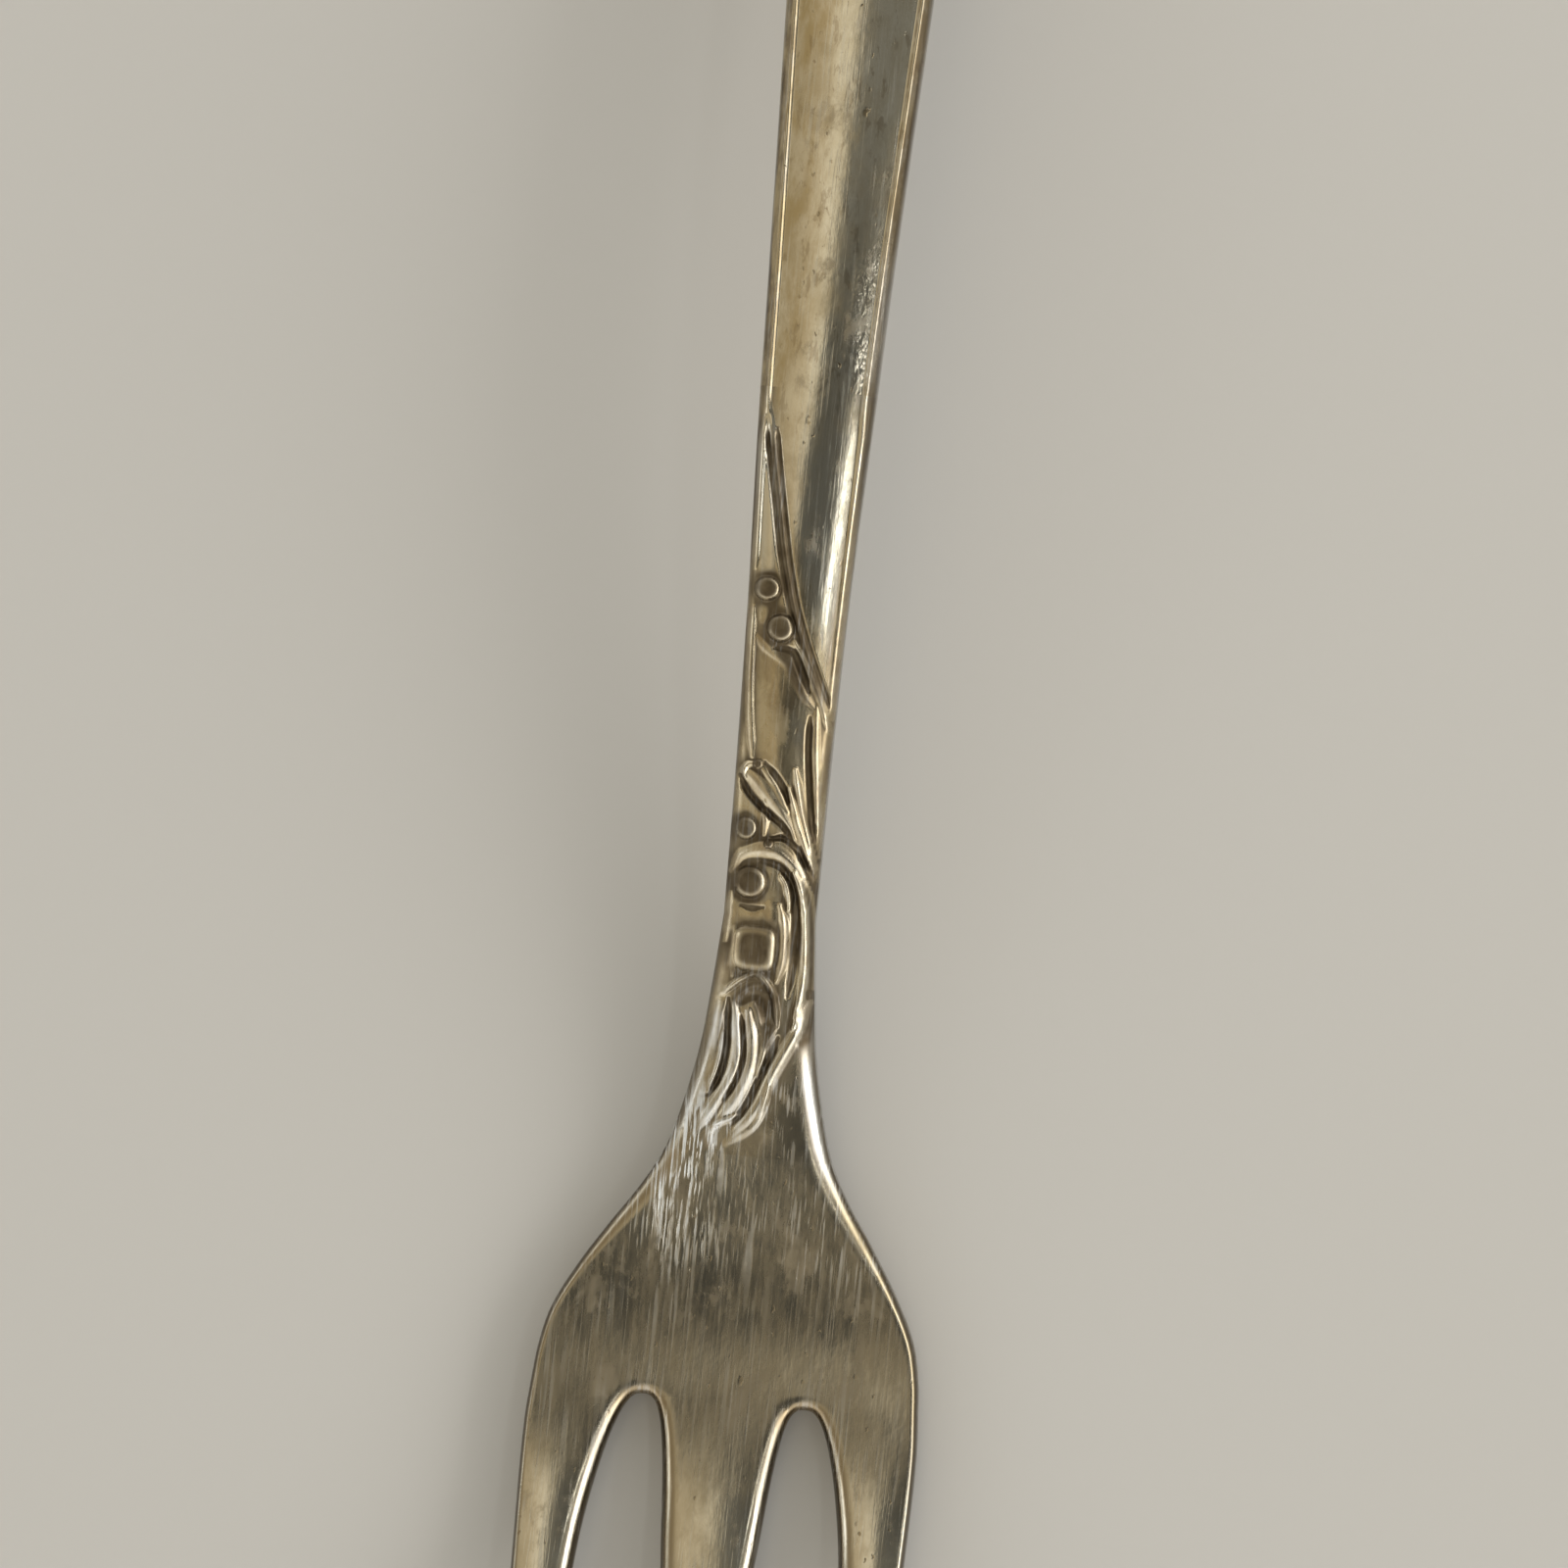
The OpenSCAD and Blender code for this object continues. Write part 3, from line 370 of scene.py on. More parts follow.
class ForkSizes(bpy.types.PropertyGroup):
    """Sizes of the fork"""

    fork_length: size_value("Fork length", "From the tine tips to the handle's end",
                            CAD_BOX[1][1] - CAD_BOX[0][1])
    arch_height: size_value("Arch height", "Height of the underside at the arch's top", 6.79 * MM)
    tip_lift: size_value("Tip lift", "Height of the underside at the tine tips", 5.5 * MM)
    head_width: size_value("Head width", "Greatest width across the tines", 17.799 * MM)
    tine_length: size_value("Tine length", "From the bottom of the slots to the tips",
                            length_of("tine_centre"))
    slot_width: size_value("Slot width", "Width of each slot between the tips", 5.75 * MM)
    tip_round: size_value("Tip round", "Length over which a tine's tip rounds off", 1.7 * MM)
    flare_length: size_value("Flare length", "From the slots to the waist of the neck", 22 * MM)
    heel_setback: size_value("Heel setback", "From the slots to the place the head rests on", 4 * MM)
    palm_length: size_value("Palm length", "From the slots to the ornament", length_of("palm"))
    ornament_length: size_value("Ornament length", "Length of the struck ornament",
                                length_of("neck"))
    neck_width: size_value("Neck width", "Width at the waist", 4.1 * MM)
    neck_top_width: size_value("Neck top width", "Width where the plain handle starts", 5.2 * MM)
    blend_length: size_value("Blend length", "Length over which the ornament fades out", 2 * MM)
    relief_height: size_value("Relief height", "Height of the scrolls above the neck", 0.3 * MM)
    handle_width: size_value("Handle width", "Greatest width of the handle", width_of("handle"))
    end_length: size_value("End length", "Length of the handle's rounded end", 9 * MM)
    rim_height: size_value("Rim height", "Height of the raised rim", 0.14 * MM)
    rim_inset: size_value("Rim inset", "From the edge to the rim's crest", 0.42 * MM)
    rim_reach: size_value("Rim reach", "From the rim's crest to its foot", 0.2 * MM)
    tip_thickness: size_value("Tip thickness", "Thickness at the tine tips", 1 * MM)
    tine_thickness: size_value("Tine thickness", "Thickness at the slots", 1.8 * MM)
    neck_thickness: size_value("Neck thickness", "Thickness at the waist", 3.1 * MM)
    handle_thickness: size_value("Handle thickness", "Thickness where the handle starts", 2.6 * MM)
    end_thickness: size_value("End thickness", "Thickness at the handle's end", 1.7 * MM)
    edge_inset: size_value("Edge inset", "Width of the rounding of the upper edges", 0.34 * MM)
    shoulder_inset: size_value("Shoulder inset", "Width of that rounding at the shoulders", 1 * MM)
    slot_inset: size_value("Slot inset", "Width of that rounding along the slots", 0.68 * MM)
    edge_drop: size_value("Edge drop", "Depth of the rounding of the upper edges", 0.7 * MM)
    sole_edge: size_value("Lower edge", "Radius of the rounding of the lower edges", 0.25 * MM)
    rest_depth: size_value("Rest depth", "How deep the resting places are worn flat", 0.06 * MM)
    crown: size_value("Crown", "Fall of the face from its middle to its edges", 0.45 * MM)
    dish: size_value("Dish", "How far the palm is dished", 0.15 * MM)
    tine_crown: size_value("Tine crown", "Fall of a tine's face towards its flanks", 0.2 * MM)
    sole_crown: size_value("Sole crown", "Rise of the underside towards the edges", 0.3 * MM)


class ForkFinish(bpy.types.PropertyGroup):
    """Colours and wear of the silver plate"""

    silver: colour_value("Silver", "Bare silver where the plate is clean", (0.74, 0.69, 0.575))
    tarnish: colour_value("Tarnish", "Thin warm tarnish", (0.5, 0.43, 0.3))
    # Also laid as a painted golden highlight on the palm's right edge, and heavier on the handle's left
    # as a painted warm reflection
    brown: colour_value("Brown", "Golden brown tarnish on the ornament", (0.5, 0.41, 0.25))
    # Also laid as painted shade on left-facing faces and round the slots' roots
    stain_and_shade: colour_value("Stain", "Brown stains", (0.3, 0.23, 0.14))
    film: colour_value("Film", "Dull dark film on the palm", (0.3, 0.26, 0.195))
    # Also laid as a painted highlight on right-facing edges and on the flames' crests
    fresh_and_highlight: colour_value("Fresh silver", "Bright metal in new scratches", (0.86, 0.88, 0.88))
    # Also laid as painted shade on the flanks and on the beads and shell
    oxide_and_shade: colour_value("Oxide", "Dark oxide in the hollows", (0.1, 0.075, 0.045))
    roughness: share_value("Roughness", "Roughness of the clean plate", 0.12)
    scratch_depth: size_value("Scratch depth", "Depth of the lengthwise scratches", 0.004 * MM)
    pit_depth: size_value("Pit depth", "Depth of the pits and nicks", 0.006 * MM)
    wave_depth: size_value("Wave depth", "Depth of the soft unevenness", 0.018 * MM)
    ripple_depth: size_value("Ripple depth", "Depth of the finer unevenness", 0.007 * MM)
    dent_depth: size_value("Dent depth", "Depth of the dents on the handle", 0.045 * MM)


class ForkStage(bpy.types.PropertyGroup):
    """Floor, light and camera"""

    floor: colour_value("Floor", "Colour of the floor", (0.6, 0.59, 0.57))
    floor_roughness: share_value("Floor roughness", "Roughness of the floor", 0.85)
    window_width: size_value("Window width", "Width of the lamp", 1400 * MM)
    window_height: size_value("Window height", "Height of the lamp", 450 * MM)
    window_power: FloatProperty(name="Window power", description="Power of the lamp", default=4.2,
                                min=0.0, unit="POWER")
    window_colour: colour_value("Window colour", "Colour of the lamp", (1.0, 0.98, 0.93))
    frame_width: size_value("Frame width", "Width that the camera takes in", 69.96 * MM)
    camera_distance: size_value("Camera distance", "From the camera to the fork", 400 * MM)
    view_tilt: FloatProperty(name="View tilt", default=math.radians(3), subtype="ANGLE",
                             description="How far right of straight above the camera stands")
    view_roll: FloatProperty(name="View roll", default=math.radians(5.81), subtype="ANGLE",
                             description="Turn of the picture")


def values_of(group):
    """The values of a property group as plain numbers."""
    names = group.__annotations__
    return SimpleNamespace(**{name: getattr(group, name) for name in names})


def between(a, b, share):
    """The value at a share of the way from a to b."""
    return a + (b - a) * share


def ease(t):
    """Goes from 0 to 1 with level ends."""
    t = np.clip(t, 0, 1)
    return t * t * (3 - 2 * t)


def curve(pairs, x):
    """Smooth curve through (place, value) pairs."""
    places, values = (np.array(column, float) for column in zip(*pairs))
    before = np.maximum(np.arange(len(places)) - 1, 0)
    after = np.minimum(np.arange(len(places)) + 1, len(places) - 1)
    slopes = (values[after] - values[before]) / (places[after] - places[before])
    i = np.clip(np.searchsorted(places, x, side="right") - 1, 0, len(places) - 2)
    reach = places[i + 1] - places[i]
    t = np.clip((x - places[i]) / reach, 0, 1)
    u = 1 - t
    ends = values[i] * (1 + 2 * t) * u * u + values[i + 1] * (1 + 2 * u) * t * t
    return ends + reach * t * u * (slopes[i] * u - slopes[i + 1] * t)


def bell(t, power=2.0):
    """1 in the middle and 0 from a distance of 1 on."""
    return np.maximum(0, 1 - t * t) ** power


def arc_fall(distance, inset, drop):
    """Fall of a rounded edge at some distance in from it."""
    share = 1 - np.clip(distance / inset, 0, 1)
    return drop * (1 - np.sqrt(1 - share * share))


def smoothed(points, rounds=2):
    """An open chain of points with its corners cut."""
    points = np.array(points, float)
    for _ in range(rounds):
        a, b = points[:-1], points[1:]
        cut = np.empty((2 * len(a), 2))
        cut[0::2] = between(a, b, 0.25)
        cut[1::2] = between(a, b, 0.75)
        points = np.concatenate([points[:1], cut, points[-1:]])
    return points


def ellipse_distance(across, along, half, reach):
    """Distance in from a half ellipse, where across and along are shares of half and reach."""
    rho = np.maximum(np.hypot(across, along), 1e-6)
    return (1 - rho) * between(half, reach, along / rho)


class Fork:
    """The fork's surfaces, worked out from its sizes."""

    def __init__(self, size):
        self.size = size
        self.slot = size.tine_length
        self.heel = self.slot + size.heel_setback
        self.foot = self.slot + size.palm_length
        self.waist = self.slot + size.flare_length
        self.head = self.foot + size.ornament_length
        self.widest = size.fork_length - size.end_length
        self.thickness_line = (
            (0, size.tip_thickness), (self.slot, size.tine_thickness),
            (self.heel, size.tine_thickness), (self.waist, size.neck_thickness),
            (self.head, size.handle_thickness), (size.fork_length, size.end_thickness),
        )
        self.crown_line = (
            (0, 0), (self.slot, -size.dish), (self.heel, -size.dish), (self.waist, size.crown),
            (self.head, size.crown), (size.fork_length, size.crown),
        )
        self.inset_line = (
            (0, size.edge_inset), (self.heel, size.edge_inset), (self.foot, size.shoulder_inset),
            (self.waist - SHOULDER_RUN,
             between(size.edge_inset, size.shoulder_inset, SHOULDER_INSET_SHARE)),
            (self.head - NECK_INSET_RUN, size.edge_inset), (size.fork_length, size.edge_inset),
        )
        self.slot_inset_line = (
            (0, size.edge_inset), (2 * size.tip_round, size.edge_inset),
            (self.slot - SLOT_INSET_RUN, size.slot_inset), (self.slot, size.slot_inset),
        )
        self.slot_outlines = [self.slot_outline(side) for side in (-1, 1)]

    def half_width(self, s):
        """Half the fork's width, seen from above."""
        size = self.size
        head = size.head_width / 2 * curve(OUTER_EDGE_SHARES, s / self.slot)
        flare = curve(SHOULDER_SHARES, (s - self.slot) / size.flare_length)
        neck = curve(NECK_SHARES, (s - self.waist) / (self.head - self.waist))
        handle = curve(HANDLE_SHARES, (s - self.head) / (self.widest - self.head))
        end = np.sqrt(np.maximum(0, 1 - ((s - self.widest) / size.end_length) ** 2))
        return np.select(
            [s <= self.slot, s <= self.waist, s <= self.head, s <= self.widest],
            [
                head,
                between(size.neck_width, size.head_width, flare) / 2,
                between(size.neck_width, size.neck_top_width, neck) / 2,
                between(size.neck_top_width, size.handle_width, handle) / 2,
            ],
            end * size.handle_width / 2,
        )

    def slant(self, s):
        """Length of the outline for one unit along the fork."""
        low, high = np.maximum(s - SLOPE_STEP, 0), np.minimum(s + SLOPE_STEP, self.widest)
        slope = (self.half_width(high) - self.half_width(low)) / np.maximum(high - low, SLOPE_STEP)
        return np.sqrt(1 + slope * slope)

    def slot_middle(self, s):
        """Distance of each slot's middle from the fork's middle."""
        return self.size.head_width / 2 * curve(SLOT_MIDDLE_SHARES, 1 - s / self.slot)

    def slot_half_width(self, s):
        """Half the width of a slot."""
        depth = np.clip(1 - s / self.slot, 0, 1)
        return self.size.slot_width / 2 * depth ** SLOT_OPENING_SHARE

    def slot_outline(self, side):
        """Points round one slot, from tip to root and back."""
        width = np.linspace(-1, 1, OUTLINE_POINTS)
        s = self.slot * (1 - np.abs(width) ** (1 / SLOT_OPENING_SHARE))
        middle = side * self.slot_middle(s)
        return np.stack([middle + np.sign(width) * self.slot_half_width(s), s], -1)

    def slot_distance(self, x, s):
        """Distance from points of the face to the nearest slot."""
        reach = self.size.slot_inset * 2
        nearest = np.full(np.broadcast(x, s).shape, reach)
        x, s = np.broadcast_arrays(x, s)
        rows = np.flatnonzero(s.min(axis=1) < self.slot + reach)
        for outline in self.slot_outlines:
            starts, spans = outline[:-1], np.diff(outline, axis=0)
            lengths = (spans * spans).sum(-1)
            for row in rows:
                close = np.abs(starts[:, 1] - s[row, 0]) < reach * 1.5
                if not close.any():
                    continue
                points = np.stack([x[row], s[row]], -1)[:, None]
                offsets = points - starts[close]
                share = np.clip((offsets * spans[close]).sum(-1) / lengths[close], 0, 1)
                gap = np.linalg.norm(offsets - share[..., None] * spans[close], axis=-1)
                nearest[row] = np.minimum(nearest[row], gap.min(axis=1))
        return nearest

    def side_distance(self, x, s):
        """Distance from points of the face to the fork's outer edge or the handle's rounded end."""
        size = self.size
        half = size.handle_width / 2
        end = ellipse_distance(
            np.abs(x) / half, np.maximum(0, s - self.widest) / size.end_length, half, size.end_length
        )
        side = (self.half_width(s) - np.abs(x)) / self.slant(s)
        return np.maximum(0, np.where(s > self.widest, end, side))

    def inset(self, s):
        """Width of the rounding along the upper outer edges."""
        return curve(self.inset_line, s)

    def slot_inset(self, s):
        """Width of the rounding along the upper edges of the slots."""
        return curve(self.slot_inset_line, np.minimum(s, self.slot))

    def drop(self, s):
        """Depth of the rounding along the upper edges."""
        return np.minimum(self.size.edge_drop, DROP_SHARE * curve(self.thickness_line, s))

    def sole_line(self, s):
        """Height of the underside along its middle."""
        size = self.size
        tip = size.tip_lift * (1 - s / self.heel) ** 2
        rise = size.arch_height * ease((s - self.heel) / (self.head - self.heel))
        fall = size.arch_height * ease((size.fork_length - s) / (size.fork_length - self.head))
        return np.where(s <= self.heel, tip, np.where(s <= self.head, rise, fall)) - size.rest_depth

    def plain_face(self, x, s):
        """Height of the upper face before its edges are rounded."""
        across = x / self.half_width(np.minimum(s, self.widest))
        top = self.sole_line(s) + curve(self.thickness_line, s)
        return top - curve(self.crown_line, s) * across ** 2

    def sole(self, x, s):
        """Height of the underside before its edges are rounded."""
        across = x / self.half_width(np.minimum(s, self.widest))
        return np.maximum(0, self.sole_line(s) + self.size.sole_crown * across ** 2)

    def rim(self, x, s):
        """Height of the raised rim along the handle's edges."""
        size = self.size
        return size.rim_height * bell((self.side_distance(x, s) - size.rim_inset) / size.rim_reach)

    def place(self, across, along):
        """A place of the ornament, in real sizes."""
        s = between(self.head, self.foot, along)
        return across * float(self.half_width(np.array(s))), s

    def stroke_share(self, x, s, strokes, power=STROKE_POWER):
        """Greatest height share of some strokes over points of the face."""
        height = np.zeros(x.shape)
        for peak, reach, points in strokes:
            half = reach * self.size.neck_width
            chain = smoothed([self.place(*point) for point in points])
            spans = np.diff(chain, axis=0)
            lengths = np.linalg.norm(spans, axis=1)
            travelled = np.concatenate([[0], np.cumsum(lengths)])
            rows = (s[:, 0] > chain[:, 1].min() - half) & (s[:, 0] < chain[:, 1].max() + half)
            px, ps = x[rows], s[rows]
            nearest = np.full(px.shape, np.inf)
            along = np.zeros(px.shape)
            for start, span, length, before in zip(chain, spans, lengths, travelled):
                dx, ds = px - start[0], ps - start[1]
                share = np.clip((dx * span[0] + ds * span[1]) / length ** 2, 0, 1)
                gap = np.hypot(dx - share * span[0], ds - share * span[1])
                along = np.where(gap < nearest, before + share * length, along)
                nearest = np.minimum(nearest, gap)
            to_end = np.minimum(along, travelled[-1] - along)
            slim = between(STROKE_END_SHARE, 1, ease(to_end / (STROKE_END_REACH * half)))
            height[rows] = np.maximum(height[rows], peak * slim * bell(nearest / (half * slim), power))
        return height

    def boss_reach(self, x, s, boss):
        """How far points of the face lie from a boss's middle, where 1 is its foot."""
        _, across, along, wide, long, squareness = boss
        cx, cs = self.place(across, along)
        reach = np.abs((x - cx) / (wide * self.size.neck_width)) ** squareness
        reach = reach + np.abs((s - cs) / (long * self.size.neck_width)) ** squareness
        return reach ** (1 / squareness)

    def boss_share(self, x, s):
        """Greatest height share of the bosses over points of the face."""
        height = np.zeros(x.shape)
        for boss in BOSS_SHARES:
            dome = np.sqrt(np.maximum(0, 1 - self.boss_reach(x, s, boss) ** 4))
            height = np.maximum(height, boss[0] * dome)
        return height

    def relief(self, x, s):
        """Height of the struck ornament over points of the face."""
        swells, ridges, grooves = (
            self.stroke_share(x, s, strokes) for strokes in (SWELL_SHARES, RIDGE_SHARES, GROOVE_SHARES)
        )
        share = swells + np.maximum(ridges, self.boss_share(x, s)) - grooves
        return share * self.size.relief_height

    def lift(self, x, s):
        """Height that the rim or the ornament adds to the face."""
        size = self.size
        above = ease((self.head - s) / size.blend_length)
        below = ease((s - self.foot) / size.blend_length)
        lift = np.where(s >= self.head - size.blend_length, self.rim(x, s), 0.0)
        neck = (s[:, 0] > self.foot) & (s[:, 0] < self.head)
        if neck.any():
            lift[neck] = between(lift[neck], self.relief(x[neck], s[neck]), above[neck]) * below[neck]
        return lift

    def edge_fall(self, side, slots, s):
        """Fall of the upper face at some distances from its outer edge and from the slots."""
        drop = self.drop(s)
        outer = arc_fall(side, self.inset(s), drop)
        return np.maximum(outer, arc_fall(slots, self.slot_inset(s), drop))


def edge_shares(is_upper):
    """Places across an edge's rounding, from the edge in, as shares of its width."""
    steps = EDGE_STEPS if is_upper else SOLE_EDGE_STEPS
    return 1 - np.cos(np.linspace(0, math.pi / 2, steps + 1))


def spread(left, right, left_inset, right_inset, is_upper, tines=1):
    """Places from left to right, crowded at both edges, for each row."""
    left, right, left_inset, right_inset = np.broadcast_arrays(left, right, left_inset, right_inset)
    edges = edge_shares(is_upper)
    count = tines * (TINE_COLUMNS if is_upper else SOLE_COLUMNS) - 2 * (len(edges) - 1)
    inner = np.linspace(0, 1, count + 1)[1:-1]
    a = left[:, None] + left_inset[:, None] * edges
    b = right[:, None] - right_inset[:, None] * edges[::-1]
    middle = between(a[:, -1:], b[:, :1], inner)
    return np.concatenate([a, middle, b], axis=1)


def flanks(fork, s, tine):
    """Left and right flanks of one tine, for each row: tine is -1, 0 or 1."""
    middle, half = fork.slot_middle(s), fork.slot_half_width(s)
    if tine == 0:
        return half - middle, middle - half
    inner, outer = middle + half, fork.half_width(s)
    return (-outer, -inner) if tine < 0 else (inner, outer)


def tine_places(fork, s, tine, is_upper):
    """Places across one tine, for each row, before its tip is rounded."""
    size = fork.size
    left, right = flanks(fork, s, tine)
    most = (right - left) * TINE_ROUNDING_SHARE
    outer = np.minimum(size.edge_inset if is_upper else size.sole_edge, most)
    inner = np.minimum(fork.slot_inset(s) if is_upper else size.sole_edge, most)
    return spread(left, right, outer if tine < 0 else inner, outer if tine > 0 else inner, is_upper)


def body_places(fork, s, is_upper):
    """Places across the palm, neck or handle, for each row. At the slots they meet the tines'."""
    half = fork.half_width(s)
    inset = fork.inset(s) if is_upper else fork.size.sole_edge
    reach = np.minimum(inset * fork.slant(s), half * BODY_ROUNDING_SHARE)
    plain = spread(-half, half, reach, reach, is_upper, 3)
    at_slot = np.full(1, fork.slot)
    parts = [tine_places(fork, at_slot, tine, is_upper)[0] for tine in (-1, 0, 1)]
    split = np.concatenate([parts[0], parts[1][1:], parts[2][1:]])
    scaled = split * (half / fork.half_width(at_slot))[:, None]
    share = ease((s - fork.slot) / (SPLIT_SHARE * fork.size.palm_length))[:, None]
    return between(scaled, plain, share)


def rounded_tip(fork, x, s, tine):
    """The places of one tine drawn in to a rounded tip, with their distance in from its edge."""
    left, right = flanks(fork, s, tine)
    middle, half = (left + right)[:, None] / 2, (right - left)[:, None] / 2
    past = np.clip(1 - s / fork.size.tip_round, 0, 1)[:, None]
    drawn = middle + (x - middle) * np.sqrt(np.maximum(0, 1 - past ** 2))
    distance = ellipse_distance(np.abs(drawn - middle) / half, past, half, fork.size.tip_round)
    return drawn, np.maximum(0, distance)


def side_points(fork, s, tine, is_upper):
    """Points of one side of a tine, or of the palm, neck or handle where tine is None."""
    size = fork.size
    x = body_places(fork, s, is_upper) if tine is None else tine_places(fork, s, tine, is_upper)
    if tine is not None:
        x, tip = rounded_tip(fork, x, s, tine)
    along = np.broadcast_to(s[:, None], x.shape)
    side, slots = fork.side_distance(x, along), fork.slot_distance(x, along)
    if tine is not None:
        at_tip = along < size.tip_round
        side, slots = np.where(at_tip, tip, side), np.where(at_tip, tip, slots)
    if is_upper:
        fall = fork.edge_fall(side, slots, along)
        z = fork.plain_face(x, along) + fork.lift(x, along) * (1 - fall / size.edge_drop) - fall
    else:
        z = fork.sole(x, along) + arc_fall(np.minimum(side, slots), size.sole_edge, size.sole_edge)
    if is_upper and tine is not None:
        left, right = flanks(fork, s, tine)
        across = (x - (left + right)[:, None] / 2) / ((right - left)[:, None] / 2)
        share = ease((fork.slot - along) / TINE_CROWN_RUN)
        share = share * curve(TINE_CROWN_SHARES, along / fork.slot)
        z = z - size.tine_crown * share * across ** 2
    return np.stack([x, along - size.fork_length / 2, z], -1)


def ladder(upper, lower):
    """Triangles between two chains of points that run the same way."""
    n, m = len(upper) - 1, len(lower) - 1
    faces, i, j = [], 0, 0
    while i < n or j < m:
        if j == m or (i < n and (i + 1) * m <= (j + 1) * n):
            faces.append((upper[i], lower[j], upper[i + 1]))
            i += 1
        else:
            faces.append((upper[i], lower[j], lower[j + 1]))
            j += 1
    return faces


class Skin:
    """Closed surface of one piece, as rings of points round the fork."""

    def __init__(self, top, bottom):
        rows, n = top.shape[:2]
        steps = np.linspace(0, 1, WALL_STEPS + 1)[1:-1, None]
        right = between(top[:, None, -1], bottom[:, None, -1], steps)
        left = between(bottom[:, None, 0], top[:, None, 0], steps)
        rings = np.concatenate([top, right, bottom[:, ::-1], left], axis=1)
        count = rings.shape[1]
        self.top_count = n
        self.rows = rows
        self.count = count
        self.points = rings.reshape(-1, 3)
        index = np.arange(rows * count).reshape(rows, count)
        after = np.roll(index, -1, axis=1)
        self.quads = np.stack([index[:-1], after[:-1], after[1:], index[1:]], -1).reshape(-1, 4)
        self.caps = [*self.cap(index[0]), *(face[::-1] for face in self.cap(index[-1]))]
        self.marks = {}

    def cap(self, ring):
        """Triangles that close one end."""
        upper = list(ring[: self.top_count])
        lower = [ring[0], *ring[: self.top_count - 1: -1], ring[self.top_count - 1]]
        faces = ladder([int(i) for i in upper], [int(i) for i in lower])
        return [face for face in faces if len(set(face)) == 3]


def stations_of(fork):
    """Stations of each piece's rows, from the tips on."""
    size = fork.size
    turn = np.linspace(0, math.pi / 2, TIP_ROWS + 1)[:-1]
    tips = size.tip_round * (1 - np.cos(turn))
    tips[0] = size.tip_round * TIP_END_SHARE
    back = (np.arange(TINE_ROWS + 1) / TINE_ROWS)[::-1] ** TINE_CROWDING
    tines = np.concatenate([tips, between(fork.slot, size.tip_round, back)])
    palm = between(fork.slot, fork.foot, np.linspace(0, 1, PALM_ROWS + 1) ** PALM_CROWDING)
    neck = np.linspace(fork.foot, fork.head, NECK_ROWS + 1)
    shaft = np.linspace(fork.head, fork.widest, HANDLE_ROWS + 1)
    round_end = np.linspace(0, math.pi / 2 * ROUND_END_SHARE, END_ROWS + 1)[1:]
    handle = np.concatenate([shaft, fork.widest + size.end_length * np.sin(round_end)])
    return {"tines": tines, "palm": palm, "neck": neck, "handle": handle}


def make_skins(size):
    """Skins of all the pieces, by the names of the solids that they stand for, with smooth normals."""
    fork = Fork(size)
    stations = stations_of(fork)
    pieces = (("tine_left", "tines", -1), ("tine_centre", "tines", 0), ("tine_right", "tines", 1),
              ("palm", "palm", None), ("neck", "neck", None), ("handle", "handle", None))
    skins = {}
    for node, rows, tine in pieces:
        top, bottom = (side_points(fork, stations[rows], tine, is_upper) for is_upper in (True, False))
        skins[node] = Skin(top, bottom)
    share_normals(skins.values())
    mark_relief(fork, skins["neck"], stations["neck"])
    return skins


def share_normals(skins):
    """Gives the skins normals that run on smoothly where two pieces meet."""
    points = np.concatenate([skin.points for skin in skins])
    places = np.round(points / SAME_PLACE).astype(np.int64)
    _, same = np.unique(places, axis=0, return_inverse=True)
    same = same.ravel()
    total = np.zeros((same.max() + 1, 3))
    start = 0
    for skin in skins:
        a, b, c, d = (skin.points[skin.quads[:, k]] for k in range(4))
        normal = np.cross(c - a, d - b)
        for k in range(4):
            np.add.at(total, same[start + skin.quads[:, k]], normal)
        start += len(skin.points)
    total /= np.maximum(np.linalg.norm(total, axis=1, keepdims=True), NEVER_ZERO)
    start = 0
    for skin in skins:
        skin.normals = total[same[start: start + len(skin.points)]]
        start += len(skin.points)


def blurred(values, steps):
    """Values averaged over some steps each way, along and then across, three times each."""
    for axis in (0, 0, 0, 1, 1, 1):
        reach = steps[axis]
        first, last = (np.repeat(values.take([end], axis), reach, axis) for end in (0, -1))
        total = np.cumsum(np.concatenate([first, values, last], axis), axis=axis)
        total = np.concatenate([np.zeros_like(total.take([0], axis)), total], axis)
        size = 2 * reach + 1
        high = total.take(range(size, total.shape[axis]), axis)
        low = total.take(range(0, total.shape[axis] - size), axis)
        values = (high - low) / size
    return values


def boss_marks(fork, x, s, boss):
    """How dark a boss is painted over points of the face, with a painted dark reflection on top, patina
    and painted shade round its foot and painted shade on its side away from the light, and how much of
    the crest there still shines.
    """
    _, across, along, wide, long, squareness = boss
    is_bead = squareness == 2
    reach = fork.boss_reach(x, s, boss)
    cx, cs = fork.place(across, along)
    dx, ds = (x - cx) / fork.size.neck_width, (s - cs) / fork.size.neck_width
    if is_bead:
        lit = (dx - ds) / (1.5 * wide) / np.maximum(reach, 0.2)
    else:
        lit = 1 - 1.2 * np.abs(ds) / long
    # A painted dark reflection on top, patina and painted shade round the foot, and painted shade on a
    # bead's side away from the window or on the shell's upper and lower walls
    top = np.clip(1.8 - 2 * reach, 0, 1)
    ring = np.clip(1.2 - 5 * np.abs(reach - 1.1), 0, 1)
    shadow = np.clip(0.4 - lit, 0, 1) * np.clip(3 - 2 * reach, 0, 1)
    weights = BEAD_DARKNESS if is_bead else SHELL_DARKNESS
    dark = np.max([weight * mark for weight, mark in zip(weights, (top, ring, shadow))], axis=0)
    return dark, (1 - top) * (1 if is_bead else np.clip(reach - 0.6, 0.3, 1))


